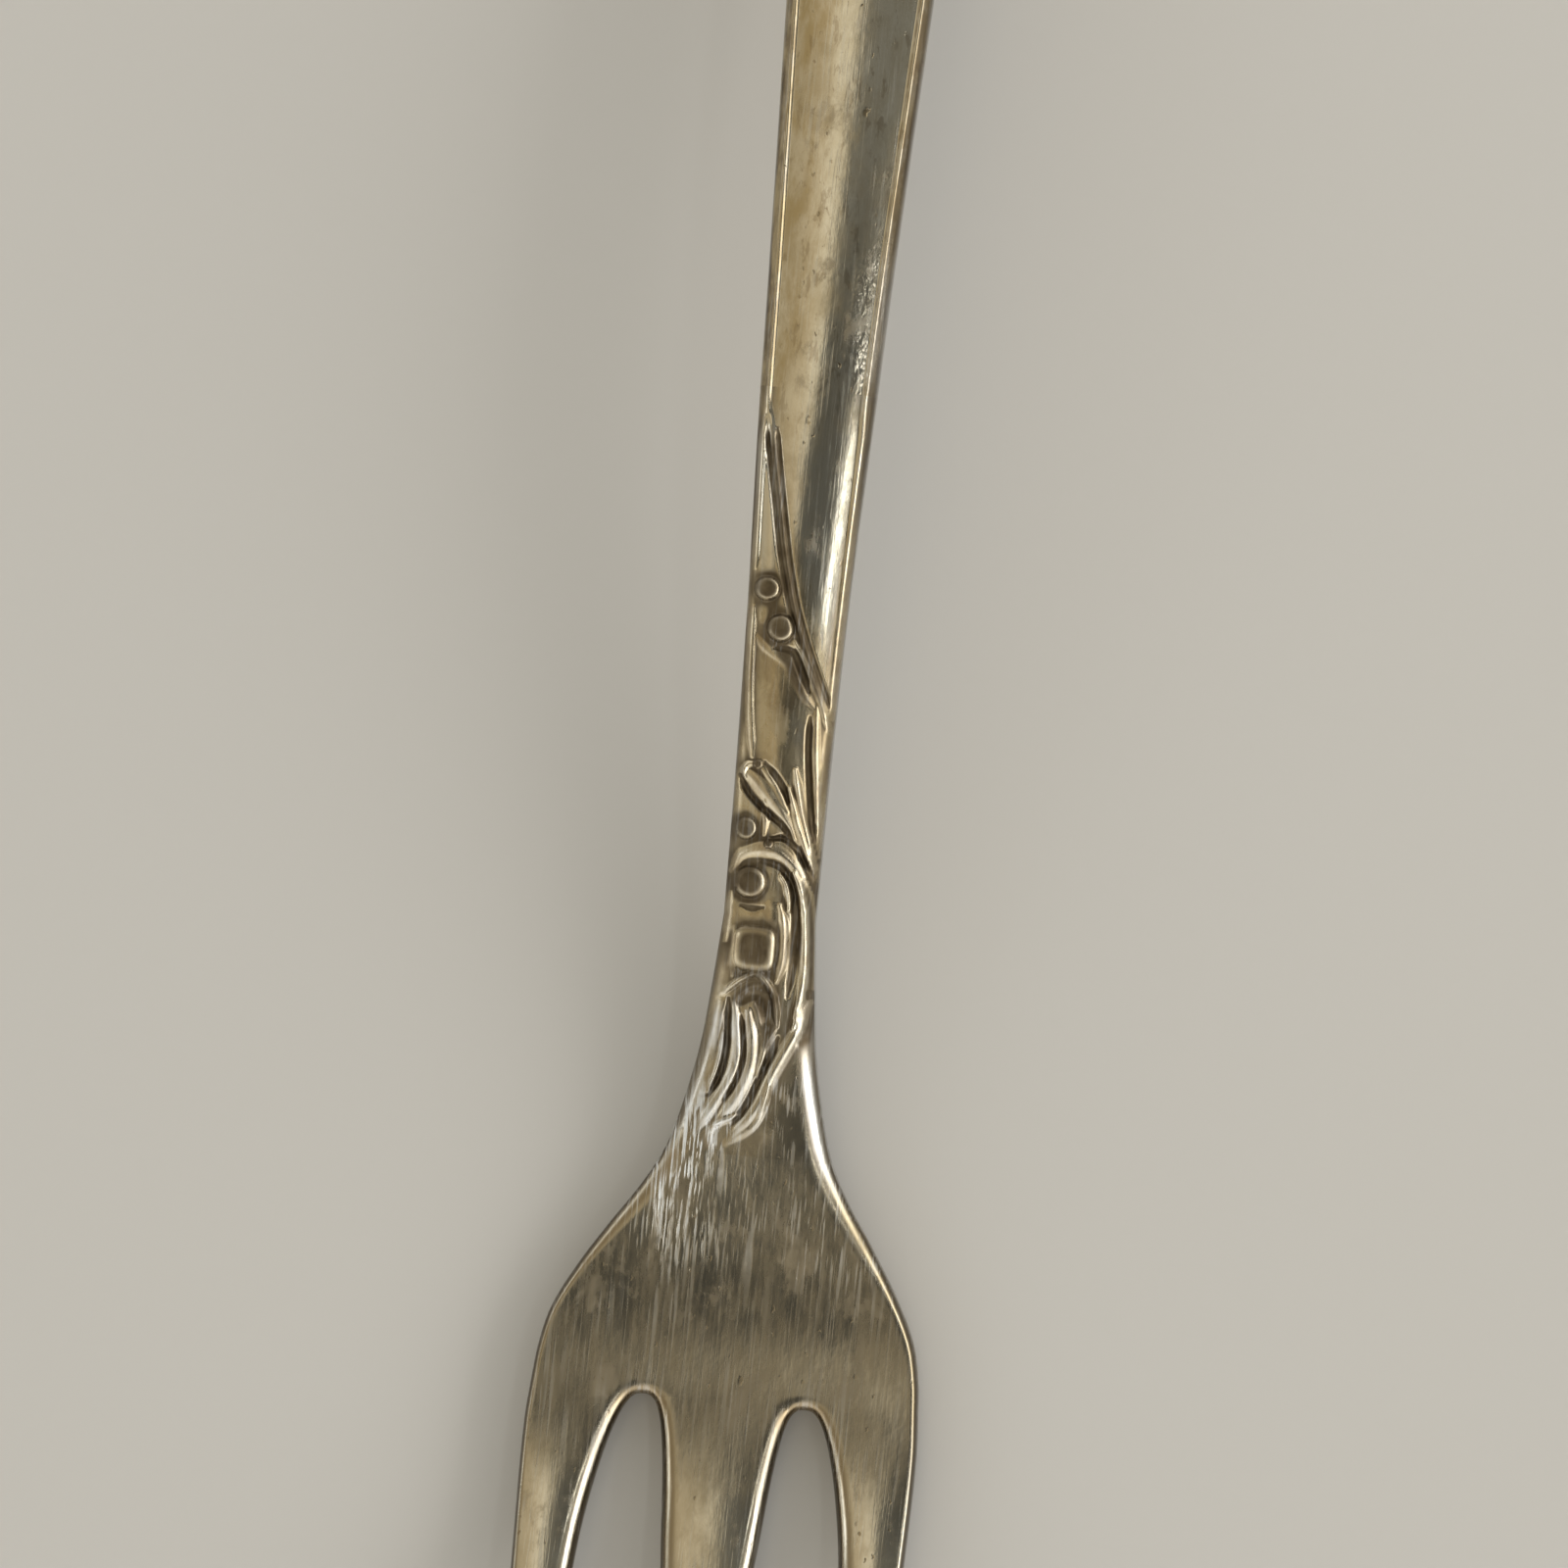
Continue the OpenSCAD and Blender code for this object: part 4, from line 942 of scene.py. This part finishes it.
def mark_relief(fork, skin, s):
    """Marks the ornament's hollows with the painted shade of its bosses and darkened strokes, its
    crests and its struck ground on the neck's skin.
    """
    x = body_places(fork, s, True)
    along = np.broadcast_to(s[:, None], x.shape)
    height = fork.lift(x, along)
    level = blurred(height, LEVEL_STEPS)
    crest = np.clip((height - level) / MARK_DEPTH, 0, 1)
    hollow = np.clip((level - height) / MARK_DEPTH, 0, 1)
    foot = ease((along - fork.foot) / (WORN_FOOT_SHARE * fork.size.ornament_length))
    cut = fork.stroke_share(x, along, GROOVE_SHARES) / FULL_CUT_SHARE
    hollow = np.maximum(hollow, np.clip(cut, 0, 1)) * between(WORN_HOLLOW_SHARE, 1, foot)
    # Darkened strokes, and the bosses' painted shade and painted dark reflection, join the real hollows
    hollow = np.maximum(hollow, fork.stroke_share(x, along, DARKENED_SHARES, DARKENED_POWER))
    for boss in BOSS_SHARES:
        dark, shine = boss_marks(fork, x, along, boss)
        hollow = np.maximum(hollow, dark)
        crest = crest * shine
    struck = np.clip(blurred(np.abs(height), STRUCK_STEPS) / STRUCK_DEPTH, 0, 1)
    struck = struck * between(WORN_GROUND_SHARE, 1, foot)
    struck = struck * ease((fork.head - along - GROUND_START) / GROUND_RUN)
    struck = struck * between(ease(fork.side_distance(x, along) / fork.inset(along) - 0.3), 1, foot)
    clean = fork.stroke_share(x, along, CLEAN_SHARES, CLEAN_POWER)
    crest = np.maximum(crest, 2 * clean)
    struck = struck * (1 - 0.9 * clean)
    for name, values in (("crest", crest), ("hollow", hollow), ("struck", struck)):
        mark = np.zeros((skin.rows, skin.count))
        mark[:, : skin.top_count] = values
        skin.marks[name] = mark.ravel()


SKINS = {}


def skins_for(context):
    """The skins for the present sizes, which are worked out once."""
    size = values_of(context.scene.fork_sizes)
    key = tuple(vars(size).values())
    if key not in SKINS:
        SKINS.clear()
        SKINS[key] = make_skins(size)
    return SKINS[key]


def make_piece(context, node, material):
    """Makes one piece of the fork in the place of its solid."""
    skin = skins_for(context)[node]
    name = "fork_" + node
    mesh = bpy.data.meshes.new(name)
    faces = skin.quads.tolist() + [list(face) for face in skin.caps]
    mesh.from_pydata(skin.points.tolist(), [], faces)
    mesh.shade_smooth()
    corners = np.zeros(len(mesh.loops), np.int32)
    mesh.loops.foreach_get("vertex_index", corners)
    normals = skin.normals[corners]
    flat = np.array([mesh.polygons[i].normal for i in range(len(skin.quads), len(faces))])
    normals[4 * len(skin.quads):] = np.repeat(flat, 3, axis=0)
    mesh.normals_split_custom_set(normals.tolist())
    for mark, values in skin.marks.items():
        attribute = mesh.attributes.new(mark, "FLOAT", "POINT")
        attribute.data.foreach_set("value", values.astype(np.float32))
    mesh.materials.append(material)
    piece = bpy.data.objects.new(name, mesh)
    context.scene.collection.objects.link(piece)
    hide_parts(node)
    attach(piece, "root")
    return piece


class Nodes:
    """Short ways to add and join nodes in one node tree."""

    def __init__(self, tree):
        self.tree = tree
        tree.nodes.clear()

    def add(self, kind, values=(), **settings):
        """Adds a node, sets its settings, and sets or joins its inputs."""
        node = self.tree.nodes.new("ShaderNode" + kind)
        for key, value in settings.items():
            setattr(node, key, value)
        for key, value in dict(values).items():
            self.put(node, key, value)
        return node

    def put(self, node, key, value):
        """Sets an input to a value, or joins it to another node's output."""
        if isinstance(value, bpy.types.Node):
            value = value.outputs[0]
        if isinstance(value, bpy.types.NodeSocket):
            self.tree.links.new(value, node.inputs[key])
        elif isinstance(node.inputs[key].default_value, float):
            node.inputs[key].default_value = value
        else:
            value = tuple(value)
            size = len(node.inputs[key].default_value)
            node.inputs[key].default_value = value + (1.0,) * (size - len(value))

    def math(self, operation, a, b=0.0, clamp=False):
        """Adds a sum of one or two values."""
        return self.add("Math", {0: a, 1: b}, operation=operation, use_clamp=clamp)

    def vector(self, operation, a, b=()):
        """Adds a sum of one or two vectors."""
        return self.add("VectorMath", {0: a, 1: b} if b else {0: a}, operation=operation)

    def times(self, total, *others):
        """Multiplies values."""
        for other in others:
            total = self.math("MULTIPLY", total, other)
        return total

    def plus(self, total, *others):
        """Adds values up."""
        for other in others:
            total = self.math("ADD", total, other)
        return total

    def mix(self, factor, a, b):
        """Mixes two colours."""
        return self.add("Mix", {0: factor, 6: a, 7: b}, data_type="RGBA").outputs[2]

    def ramp(self, value, low, high, out_low=0.0, out_high=1.0):
        """Takes a value from one range to another, with soft ends."""
        return self.add(
            "MapRange", {0: value, 1: low, 2: high, 3: out_low, 4: out_high},
            interpolation_type="SMOOTHSTEP"
        )

    def near(self, place, spot, low, high):
        """1 near a spot, given as (middle, reach), and 0 away from it."""
        offset = self.vector("DIVIDE", self.vector("SUBTRACT", place, spot[0]), spot[1])
        return self.ramp(self.vector("LENGTH", offset).outputs["Value"], low, high, 1.0, 0.0)

    def noise(self, vector, scale, stretch=(1, 1, 1), detail=4.0, roughness=0.5, distortion=0.0):
        """Adds noise, stretched along the axes, with a scale in features a millimetre."""
        stretched = self.add("Mapping", {"Vector": vector, "Scale": stretch})
        return self.add("TexNoise", {
            "Vector": stretched, "Scale": scale / MM, "Detail": detail, "Roughness": roughness,
            "Distortion": distortion,
        })

    def patches(self, vector, noise, ramp):
        """Patches of noise, where noise and ramp hold what those two take after their first value."""
        return self.ramp(self.noise(vector, *noise), *ramp)


def new_group(name, inputs, outputs):
    """Starts a shader node group with named inputs and outputs, as (name, kind, default)."""
    tree = bpy.data.node_groups.new(name, "ShaderNodeTree")
    nodes = Nodes(tree)
    for direction, sockets in (("INPUT", inputs), ("OUTPUT", outputs)):
        for label, kind, *default in sockets:
            kind = "NodeSocket" + kind
            socket = tree.interface.new_socket(label, in_out=direction, socket_type=kind)
            if default:
                socket.default_value = default[0]
    start = tree.nodes.new("NodeGroupInput")
    end = tree.nodes.new("NodeGroupOutput")
    return nodes, start.outputs, end


def tarnish_group():
    """Mottled tarnish over clean silver, in long soft clouds with finer stains."""
    nodes, given, end = new_group(
        "Mottled Tarnish",
        [("Vector", "Vector"), ("Clean", "Color"), ("Tarnish", "Color"), ("Stain", "Color"),
         ("Amount", "Float", 0.5)],
        [("Color", "Color"), ("Dullness", "Float")],
    )
    place, amount = given["Vector"], given["Amount"]
    soft = nodes.patches(place, *TARNISH_CLOUDS)
    fine = nodes.patches(place, *FINE_TARNISH)
    blots = nodes.patches(place, *STAIN_BLOTS)
    veil = nodes.math("MULTIPLY", nodes.plus(soft, nodes.times(fine, 0.5)), amount, clamp=True)
    stains = nodes.times(blots, amount)
    veiled = nodes.mix(veil, given["Clean"], given["Tarnish"])
    nodes.put(end, "Color", nodes.mix(nodes.times(stains, 0.7), veiled, given["Stain"]))
    nodes.put(end, "Dullness", nodes.math("ADD", nodes.times(veil, 0.5), stains, clamp=True))
    return nodes.tree


def scratch_group():
    """Scratches that run along the fork, some fine and close, some long and single."""
    nodes, given, end = new_group(
        "Lengthwise Scratches",
        [("Vector", "Vector"), ("Amount", "Float", 1.0), ("Rubbed", "Float", 0.0)],
        [("Height", "Float"), ("Mask", "Float")],
    )
    place, rubbed = given["Vector"], given["Rubbed"]
    lines = [
        nodes.patches(place, (scale, (1, stretch, 0.3), 1, 0.5), (low, low + SCRATCH_RISE))
        for scale, stretch, low in SCRATCH_LINES
    ]
    some = nodes.patches(place, *SCRATCHED_PATCHES)
    total = nodes.math("MAXIMUM", lines[0], nodes.math("MAXIMUM", lines[1], lines[2]))
    broad = nodes.patches(place, *BROAD_STREAKS)
    mask = nodes.math("MAXIMUM", nodes.times(total, some, given["Amount"]), nodes.times(broad, rubbed))
    brushed = nodes.noise(place, *BRUSHED_GRAIN)
    grain = nodes.times(nodes.math("SUBTRACT", brushed, 0.5), 0.3)
    deeper = nodes.plus(nodes.times(rubbed, 2.0), 1.0)
    nodes.put(end, "Height", nodes.math("SUBTRACT", grain, nodes.times(mask, deeper)))
    nodes.put(end, "Mask", mask)
    return nodes.tree


def pit_group():
    """Small pits and nicks, sparse and of mixed size."""
    nodes, given, end = new_group(
        "Pits and Nicks",
        [("Vector", "Vector"), ("Amount", "Float", 1.0)],
        [("Height", "Float"), ("Mask", "Float")],
    )
    place = given["Vector"]
    masks = []
    for scale, reach in PIT_SIZES:
        shift = nodes.times(nodes.noise(place, 2.5, detail=3), PIT_SHIFT)
        warped = nodes.vector("ADD", place, shift)
        longer = nodes.add("Mapping", {"Vector": warped, "Scale": (1.0, 0.5, 1.0)})
        cells = nodes.add("TexVoronoi", {"Vector": longer, "Scale": scale / MM, "Randomness": 1.0})
        chosen = nodes.ramp(nodes.add("SeparateColor", {0: cells.outputs["Color"]}), 0.45, 0.8)
        spot = nodes.ramp(cells.outputs["Distance"], reach * 0.4, reach, 1.0, 0.0)
        masks.append(nodes.times(spot, chosen))
    mask = nodes.times(nodes.math("MAXIMUM", *masks), given["Amount"])
    nodes.put(end, "Height", nodes.math("SUBTRACT", 0.0, mask))
    nodes.put(end, "Mask", mask)
    return nodes.tree


def haze_group():
    """Dull brushing and blots where the plate has been rubbed and handled."""
    nodes, given, end = new_group(
        "Hazy Brushing", [("Vector", "Vector"), ("Amount", "Float", 1.0)], [("Mask", "Float")]
    )
    brush = nodes.patches(given["Vector"], *HAZE_BRUSHING)
    blots = nodes.patches(given["Vector"], *HAZE_BLOTS)
    both = nodes.plus(nodes.times(brush, 0.5), nodes.times(blots, 0.5))
    nodes.put(end, "Mask", nodes.times(both, given["Amount"]))
    return nodes.tree


class SilverNodes(Nodes):
    """Nodes of the silver's material, with the place, the facing and the look so far at hand."""

    def __init__(self, tree, finish):
        super().__init__(tree)
        self.finish = finish
        self.place = self.add("TexCoord").outputs["Object"]
        self.x, self.y, _ = self.add("SeparateXYZ", {0: self.place}).outputs
        normal = self.add("NewGeometry").outputs["Normal"]
        self.rightward, _, self.upright = self.add("SeparateXYZ", {0: normal}).outputs

    def group(self, name, make, **inputs):
        """Adds a shared group, which is built the first time that it is wanted."""
        tree = bpy.data.node_groups.get(name) or make()
        return self.add("Group", {"Vector": self.place, **inputs}, node_tree=tree)

    def mark(self, name):
        """One of the marks on the neck's skin."""
        return self.add("Attribute", attribute_name=name, attribute_type="GEOMETRY").outputs["Fac"]

    def along(self, zone, *values):
        """A ramp over a zone along the fork, which is given in millimetres."""
        return self.ramp(self.y, zone[0] * MM, zone[1] * MM, *values)

    def across(self, zone, *values):
        """A ramp over a zone across the fork, which is given in millimetres."""
        return self.ramp(self.x, zone[0] * MM, zone[1] * MM, *values)

    def paint(self, colour, *factors):
        """Lays a colour over the silver, as strongly as the product of some factors."""
        self.colour = self.mix(self.times(*factors), self.colour, colour)

    def roughen(self, factor, amount):
        """Makes the silver rougher."""
        self.rough = self.plus(self.rough, self.times(factor, amount))

    def lay_tarnish(self):
        """The plate's tarnish and pits, its haze and film, and the places that are scratched."""
        finish = self.finish
        tarnish = self.group("Mottled Tarnish", tarnish_group, Clean=finish.silver,
                             Tarnish=finish.tarnish, Stain=finish.stain_and_shade, Amount=0.6)
        self.some = self.patches(self.place, *RUBBED_PATCHES)
        self.rubbed = self.times(self.near(self.place, RUBBED_PLACE, 0.3, 1.25), self.some)
        used = self.times(self.along(USED_FOOT, 0.35, 0.7), self.along(USED_HEAD, 1.0, 0.45))
        self.scratches = self.group("Lengthwise Scratches", scratch_group,
                                    Amount=self.plus(used, self.rubbed), Rubbed=self.rubbed)
        self.pits = self.group("Pits and Nicks", pit_group)
        palm = self.times(self.along(HAZE_HEAD, 1.0, 0.0), self.along(FILM_FOOT))
        haze = self.group("Hazy Brushing", haze_group, Amount=palm)
        film = self.times(self.along(FILM_HEAD, 1.0, 0.0), self.along(FILM_FOOT, 0.3, 1.0),
                          self.along(FILM_STEP, 0.68, 0.52))
        self.film = self.math("MAXIMUM", film, self.times(self.rubbed, 0.8))
        self.colour = tarnish.outputs["Color"]
        self.paint(finish.stain_and_shade, self.pits.outputs["Mask"], 0.85)
        self.paint(finish.tarnish, haze, 0.5)
        self.paint(finish.film, self.film)
        self.rough = self.plus(self.times(tarnish.outputs["Dullness"], 0.26), finish.roughness)
        self.roughen(haze, 0.12)

    def mark_edges(self):
        """Painted shade on left-facing faces, on the flanks and round the slots' roots, painted
        highlights along the right edges, and smudges along the edges.
        """
        finish = self.finish
        # Painted shade on faces turned to the left, from the neck's foot towards the tines
        self.paint(finish.stain_and_shade, self.ramp(self.rightward, *FACES_LEFT),
                   self.along(FLANK_HEAD, 1.0, 0.0), self.ramp(self.rightward, *FACES_NOT_ALL_LEFT))
        smudges = self.patches(self.place, *EDGE_SMUDGES)
        self.paint(finish.stain_and_shade, smudges, self.ramp(self.upright, *EDGE_TILT),
                   self.along(EDGE_HEAD, 0.12, 1.0))
        # Painted highlight on right-facing edges: bright silver along the neck's lower part and
        # shoulders, golden along the palm
        right_edge_highlight = self.times(self.ramp(self.upright, *RIGHT_EDGE_TILT),
                                self.ramp(self.rightward, *FACES_RIGHT))
        self.paint(finish.fresh_and_highlight, right_edge_highlight, 0.8, self.along(SHOULDER_HEAD, 1.0, 0.0),
                   self.along(SHOULDER_FOOT, 0.1, 1.0))
        self.paint(finish.brown, right_edge_highlight, 0.7, self.along(GOLD_HIGHLIGHT_HEAD, 1.0, 0.0),
                   self.along(GOLD_HIGHLIGHT_FOOT))
        # Painted shade on the steep flanks, full on their upper side and half on the underside
        self.paint(finish.oxide_and_shade, self.ramp(self.upright, *FLANK_TILT),
                   self.ramp(self.upright, *UPPER_SIDE))
        # Painted shade round each slot's root, on its rounded edge
        folded = self.add("CombineXYZ", {0: self.math("ABSOLUTE", self.x), 1: self.y})
        away = self.vector("DISTANCE", folded, ROOT_PLACE).outputs["Value"]
        self.paint(finish.stain_and_shade, self.ramp(away, *ROOT_SHADE),
                   self.ramp(self.upright, *ROOT_TILT))

    def mark_handle(self):
        """Golden clouds, heavier on the left as a painted warm reflection, and brown specks on the
        handle.
        """
        # Golden tarnish clouds, laid heavier on the handle's left as a painted warm reflection
        clouds = self.patches(self.place, *GOLDEN_CLOUDS)
        self.paint(self.finish.brown, clouds, self.along(HANDLE_FOOT),
                   self.across(GOLDEN_ZONE, 0.95, 0.3))
        specks = self.patches(self.place, *BROWN_SPECKS)
        self.paint(self.finish.stain_and_shade, specks, self.along(HANDLE_FOOT, 0.0, 0.45))

    def mark_ornament(self):
        """Golden ground, clean crests, dark hollows with painted shade on the bosses and strokes, and a
        painted highlight on the flames' worn crests, of the struck ornament.
        """
        finish = self.finish
        hollow, crest, struck = (self.mark(name) for name in ("hollow", "crest", "struck"))
        patchy = self.patches(self.place, *DARK_PATCHES)
        mottle = self.patches(self.place, *GROUND_MOTTLING)
        # Patina in the hollows, with the painted shade of the bosses and of the darkened strokes
        patina_and_shade_mask = self.times(self.ramp(hollow, 0.0, 0.6), patchy)
        kept = self.times(struck, self.math("SUBTRACT", 1.0, self.rubbed))
        # Worn crests of the flames painted bright as a highlight, towards the neck's foot and left
        flame_highlight = self.times(self.along(FLAME_HEAD, 0.6, 0.0), self.across(FLAME_ZONE, 1.0, 0.0), crest,
                           self.some)
        self.paint(finish.brown, kept, 0.8)
        self.paint(finish.silver, crest, 0.45)
        self.paint(finish.stain_and_shade, kept, mottle)
        self.paint(finish.film, self.film, 0.75)
        self.paint(finish.oxide_and_shade, patina_and_shade_mask)
        self.paint(finish.fresh_and_highlight, flame_highlight)
        self.roughen(patina_and_shade_mask, 0.3)
        self.roughen(kept, 0.08)
        self.roughen(flame_highlight, 0.3)

    def wear_down(self):
        """Fresh metal in the scratches and the dents, and the fine unevenness as a bump."""
        finish = self.finish
        worn = self.plus(self.times(self.rubbed, 0.35), 0.55)
        worn = self.math("MULTIPLY", self.scratches.outputs["Mask"], worn, clamp=True)
        self.paint(finish.fresh_and_highlight, worn)
        self.roughen(worn, 0.5)
        dented = self.near(self.place, DENTED_PLACE, 0.5, 1.1)
        self.paint(finish.fresh_and_highlight, dented, 0.15)
        dents = self.times(self.noise(self.place, *DENT_SHAPES),
                           self.math("MAXIMUM", dented, 0.05))
        height = self.plus(
            self.times(self.noise(self.place, *SOFT_WAVES), finish.wave_depth),
            self.times(self.noise(self.place, *FINE_RIPPLES), finish.ripple_depth),
            self.times(dents, finish.dent_depth),
            self.times(self.scratches.outputs["Height"], finish.scratch_depth),
            self.times(self.pits.outputs["Height"], finish.pit_depth),
        )
        return self.add("Bump", {"Height": height, "Strength": 1.0, "Distance": 1.0})


def silver_material(context, name, is_struck):
    """Worn silver plate, with painted shade and highlights along its edges and a painted warm
    reflection on the handle. The struck one has dark patina and painted shade in its hollows and on its
    beads, and bright worn crests with a painted highlight on the flames.
    """
    old = bpy.data.materials.get(name)
    if old:
        return old
    material = bpy.data.materials.new(name)
    material.use_nodes = True
    nodes = SilverNodes(material.node_tree, values_of(context.scene.fork_finish))
    nodes.lay_tarnish()
    nodes.mark_edges()
    nodes.mark_handle()
    if is_struck:
        nodes.mark_ornament()
    bump = nodes.wear_down()
    shader = nodes.add("BsdfPrincipled", {
        "Base Color": nodes.colour, "Metallic": 1.0, "Roughness": nodes.rough, "Normal": bump,
    })
    nodes.add("OutputMaterial", {"Surface": shader})
    return material


def make_plain_piece(context, node):
    """Makes a piece with the finish of the handle, the palm and the tines."""
    material = silver_material(context, "worn_silver_plate", False)
    return make_piece(context, node, material)


class FORK_OT_handle(bpy.types.Operator):
    """Make the plain tapering handle with its raised rim"""

    bl_idname = "fork.handle"
    bl_label = "Handle"

    def execute(self, context):
        make_plain_piece(context, "handle")
        return {"FINISHED"}


class FORK_OT_neck(bpy.types.Operator):
    """Make the neck with its struck scrolls, beads and leaves"""

    bl_idname = "fork.neck"
    bl_label = "Neck"

    def execute(self, context):
        material = silver_material(context, "struck_silver_plate", True)
        make_piece(context, "neck", material)
        return {"FINISHED"}


class FORK_OT_palm(bpy.types.Operator):
    """Make the flared palm"""

    bl_idname = "fork.palm"
    bl_label = "Palm"

    def execute(self, context):
        make_plain_piece(context, "palm")
        return {"FINISHED"}


class FORK_OT_tines(bpy.types.Operator):
    """Make the three tines"""

    bl_idname = "fork.tines"
    bl_label = "Tines"

    def execute(self, context):
        for side in ("left", "centre", "right"):
            make_plain_piece(context, "tine_" + side)
        return {"FINISHED"}


def make_floor(context, stage):
    """Makes the pale floor."""
    mesh = bpy.data.meshes.new("floor")
    corners = [
        (x * FLOOR_REACH, y * FLOOR_REACH, 0) for x, y in ((-1, -1), (1, -1), (1, 1), (-1, 1))
    ]
    mesh.from_pydata(corners, [], [(0, 1, 2, 3)])
    material = bpy.data.materials.new("floor")
    material.use_nodes = True
    nodes = Nodes(material.node_tree)
    shader = nodes.add("BsdfPrincipled", {
        "Base Color": stage.floor, "Roughness": stage.floor_roughness,
    })
    nodes.add("OutputMaterial", {"Surface": shader})
    mesh.materials.append(material)
    floor = bpy.data.objects.new("floor", mesh)
    context.scene.collection.objects.link(floor)


def make_world(context):
    """Lights the scene from all round, as a soft room with a darker place overhead does."""
    world = bpy.data.worlds.new("soft room")
    world.use_nodes = True
    nodes = Nodes(world.node_tree)
    x, y, z = nodes.add("SeparateXYZ", {0: nodes.add("TexCoord").outputs["Generated"]}).outputs
    across = nodes.math("DEGREES", nodes.math("ARCTAN2", x, z))
    along = nodes.math("DEGREES", nodes.math("ARCTAN2", y, z))
    ramp = nodes.add("ValToRGB", {0: nodes.plus(nodes.math("DIVIDE", across, 180.0), 0.5)})
    elements = ramp.color_ramp.elements
    for i, (angle, colour) in enumerate(ROOM_STOPS):
        element = elements[i] if i < 2 else elements.new(angle / 180 + 0.5)
        element.position = angle / 180 + 0.5
        element.color = (*colour, 1.0)
    room = nodes.mix(nodes.ramp(nodes.math("ABSOLUTE", along), 35.0, 60.0), ramp, ROOM_SIDES)
    for colour, middle, reach in ROOM_PATCHES:
        offset = nodes.add("CombineXYZ", {
            i: nodes.math("DIVIDE", nodes.math("SUBTRACT", angle, middle[i]), reach[i])
            for i, angle in enumerate((across, along))
        })
        away = nodes.vector("LENGTH", offset).outputs["Value"]
        room = nodes.mix(nodes.ramp(away, 0.8, 1.1), colour, room)
    background = nodes.add("Background", {"Color": room, "Strength": 1.0})
    nodes.add("OutputWorld", {"Surface": background})
    context.scene.world = world


def make_window(context, stage):
    """Makes the window, a wide soft lamp low at the right."""
    light = bpy.data.lights.new("window", "AREA")
    light.shape = "RECTANGLE"
    light.size = stage.window_width
    light.size_y = stage.window_height
    light.energy = stage.window_power
    light.color = stage.window_colour
    lamp = bpy.data.objects.new("window", light)
    lamp.location = WINDOW_PLACE
    lamp.rotation_mode = "QUATERNION"
    lamp.rotation_quaternion = (WINDOW_AIM - WINDOW_PLACE).to_track_quat("-Z", "Y")
    context.scene.collection.objects.link(lamp)


def make_camera(context, stage):
    """Stands the camera above the neck, as in the photograph."""
    camera = bpy.data.cameras.new("camera")
    camera.sensor_width = 36.0
    camera.lens = camera.sensor_width * stage.camera_distance / stage.frame_width
    camera.clip_start = 0.01
    camera.clip_end = 10
    holder = bpy.data.objects.new("camera", camera)
    back = Vector((math.sin(stage.view_tilt), 0, math.cos(stage.view_tilt)))
    right = Vector((math.cos(stage.view_tilt), 0, -math.sin(stage.view_tilt)))
    turn = Matrix.Rotation(stage.view_roll, 4, back)
    axes = Matrix((right, Vector((0, 1, 0)), back)).transposed().to_4x4()
    place = Matrix.Translation(CAMERA_AIM + back * stage.camera_distance)
    holder.matrix_world = place @ turn @ axes
    context.scene.collection.objects.link(holder)
    context.scene.camera = holder


class FORK_OT_stage(bpy.types.Operator):
    """Make the floor, the lights and the camera"""

    bl_idname = "fork.stage"
    bl_label = "Floor, lights and camera"

    def execute(self, context):
        stage = values_of(context.scene.fork_stage)
        make_floor(context, stage)
        make_world(context)
        make_window(context, stage)
        make_camera(context, stage)
        context.scene.view_settings.view_transform = "Standard"
        return {"FINISHED"}


class FORK_PT_panel(bpy.types.Panel):
    """Lists the fork's pieces and its settings"""

    bl_idname = "FORK_PT_panel"
    bl_label = "Oyster Fork"
    bl_space_type = "VIEW_3D"
    bl_region_type = "UI"
    bl_category = "Oyster Fork"

    def draw(self, context):
        for operator in OPERATORS:
            self.layout.operator(operator.bl_idname)
        for group in ("fork_sizes", "fork_finish", "fork_stage"):
            settings = getattr(context.scene, group)
            box = self.layout.box()
            for name in type(settings).__annotations__:
                box.prop(settings, name)


OPERATORS = (FORK_OT_handle, FORK_OT_neck, FORK_OT_palm, FORK_OT_tines, FORK_OT_stage)
CLASSES = (ForkSizes, ForkFinish, ForkStage, *OPERATORS, FORK_PT_panel)


def register():
    for each in CLASSES:
        bpy.utils.register_class(each)
    bpy.types.Scene.fork_sizes = PointerProperty(type=ForkSizes)
    bpy.types.Scene.fork_finish = PointerProperty(type=ForkFinish)
    bpy.types.Scene.fork_stage = PointerProperty(type=ForkStage)


def unregister():
    del bpy.types.Scene.fork_stage
    del bpy.types.Scene.fork_finish
    del bpy.types.Scene.fork_sizes
    for each in reversed(CLASSES):
        bpy.utils.unregister_class(each)


def main():
    """Makes the fork and its stage."""
    register()
    bpy.ops.fork.handle()
    bpy.ops.fork.neck()
    bpy.ops.fork.palm()
    bpy.ops.fork.tines()
    bpy.ops.fork.stage()


if __name__ == "__main__":
    main()
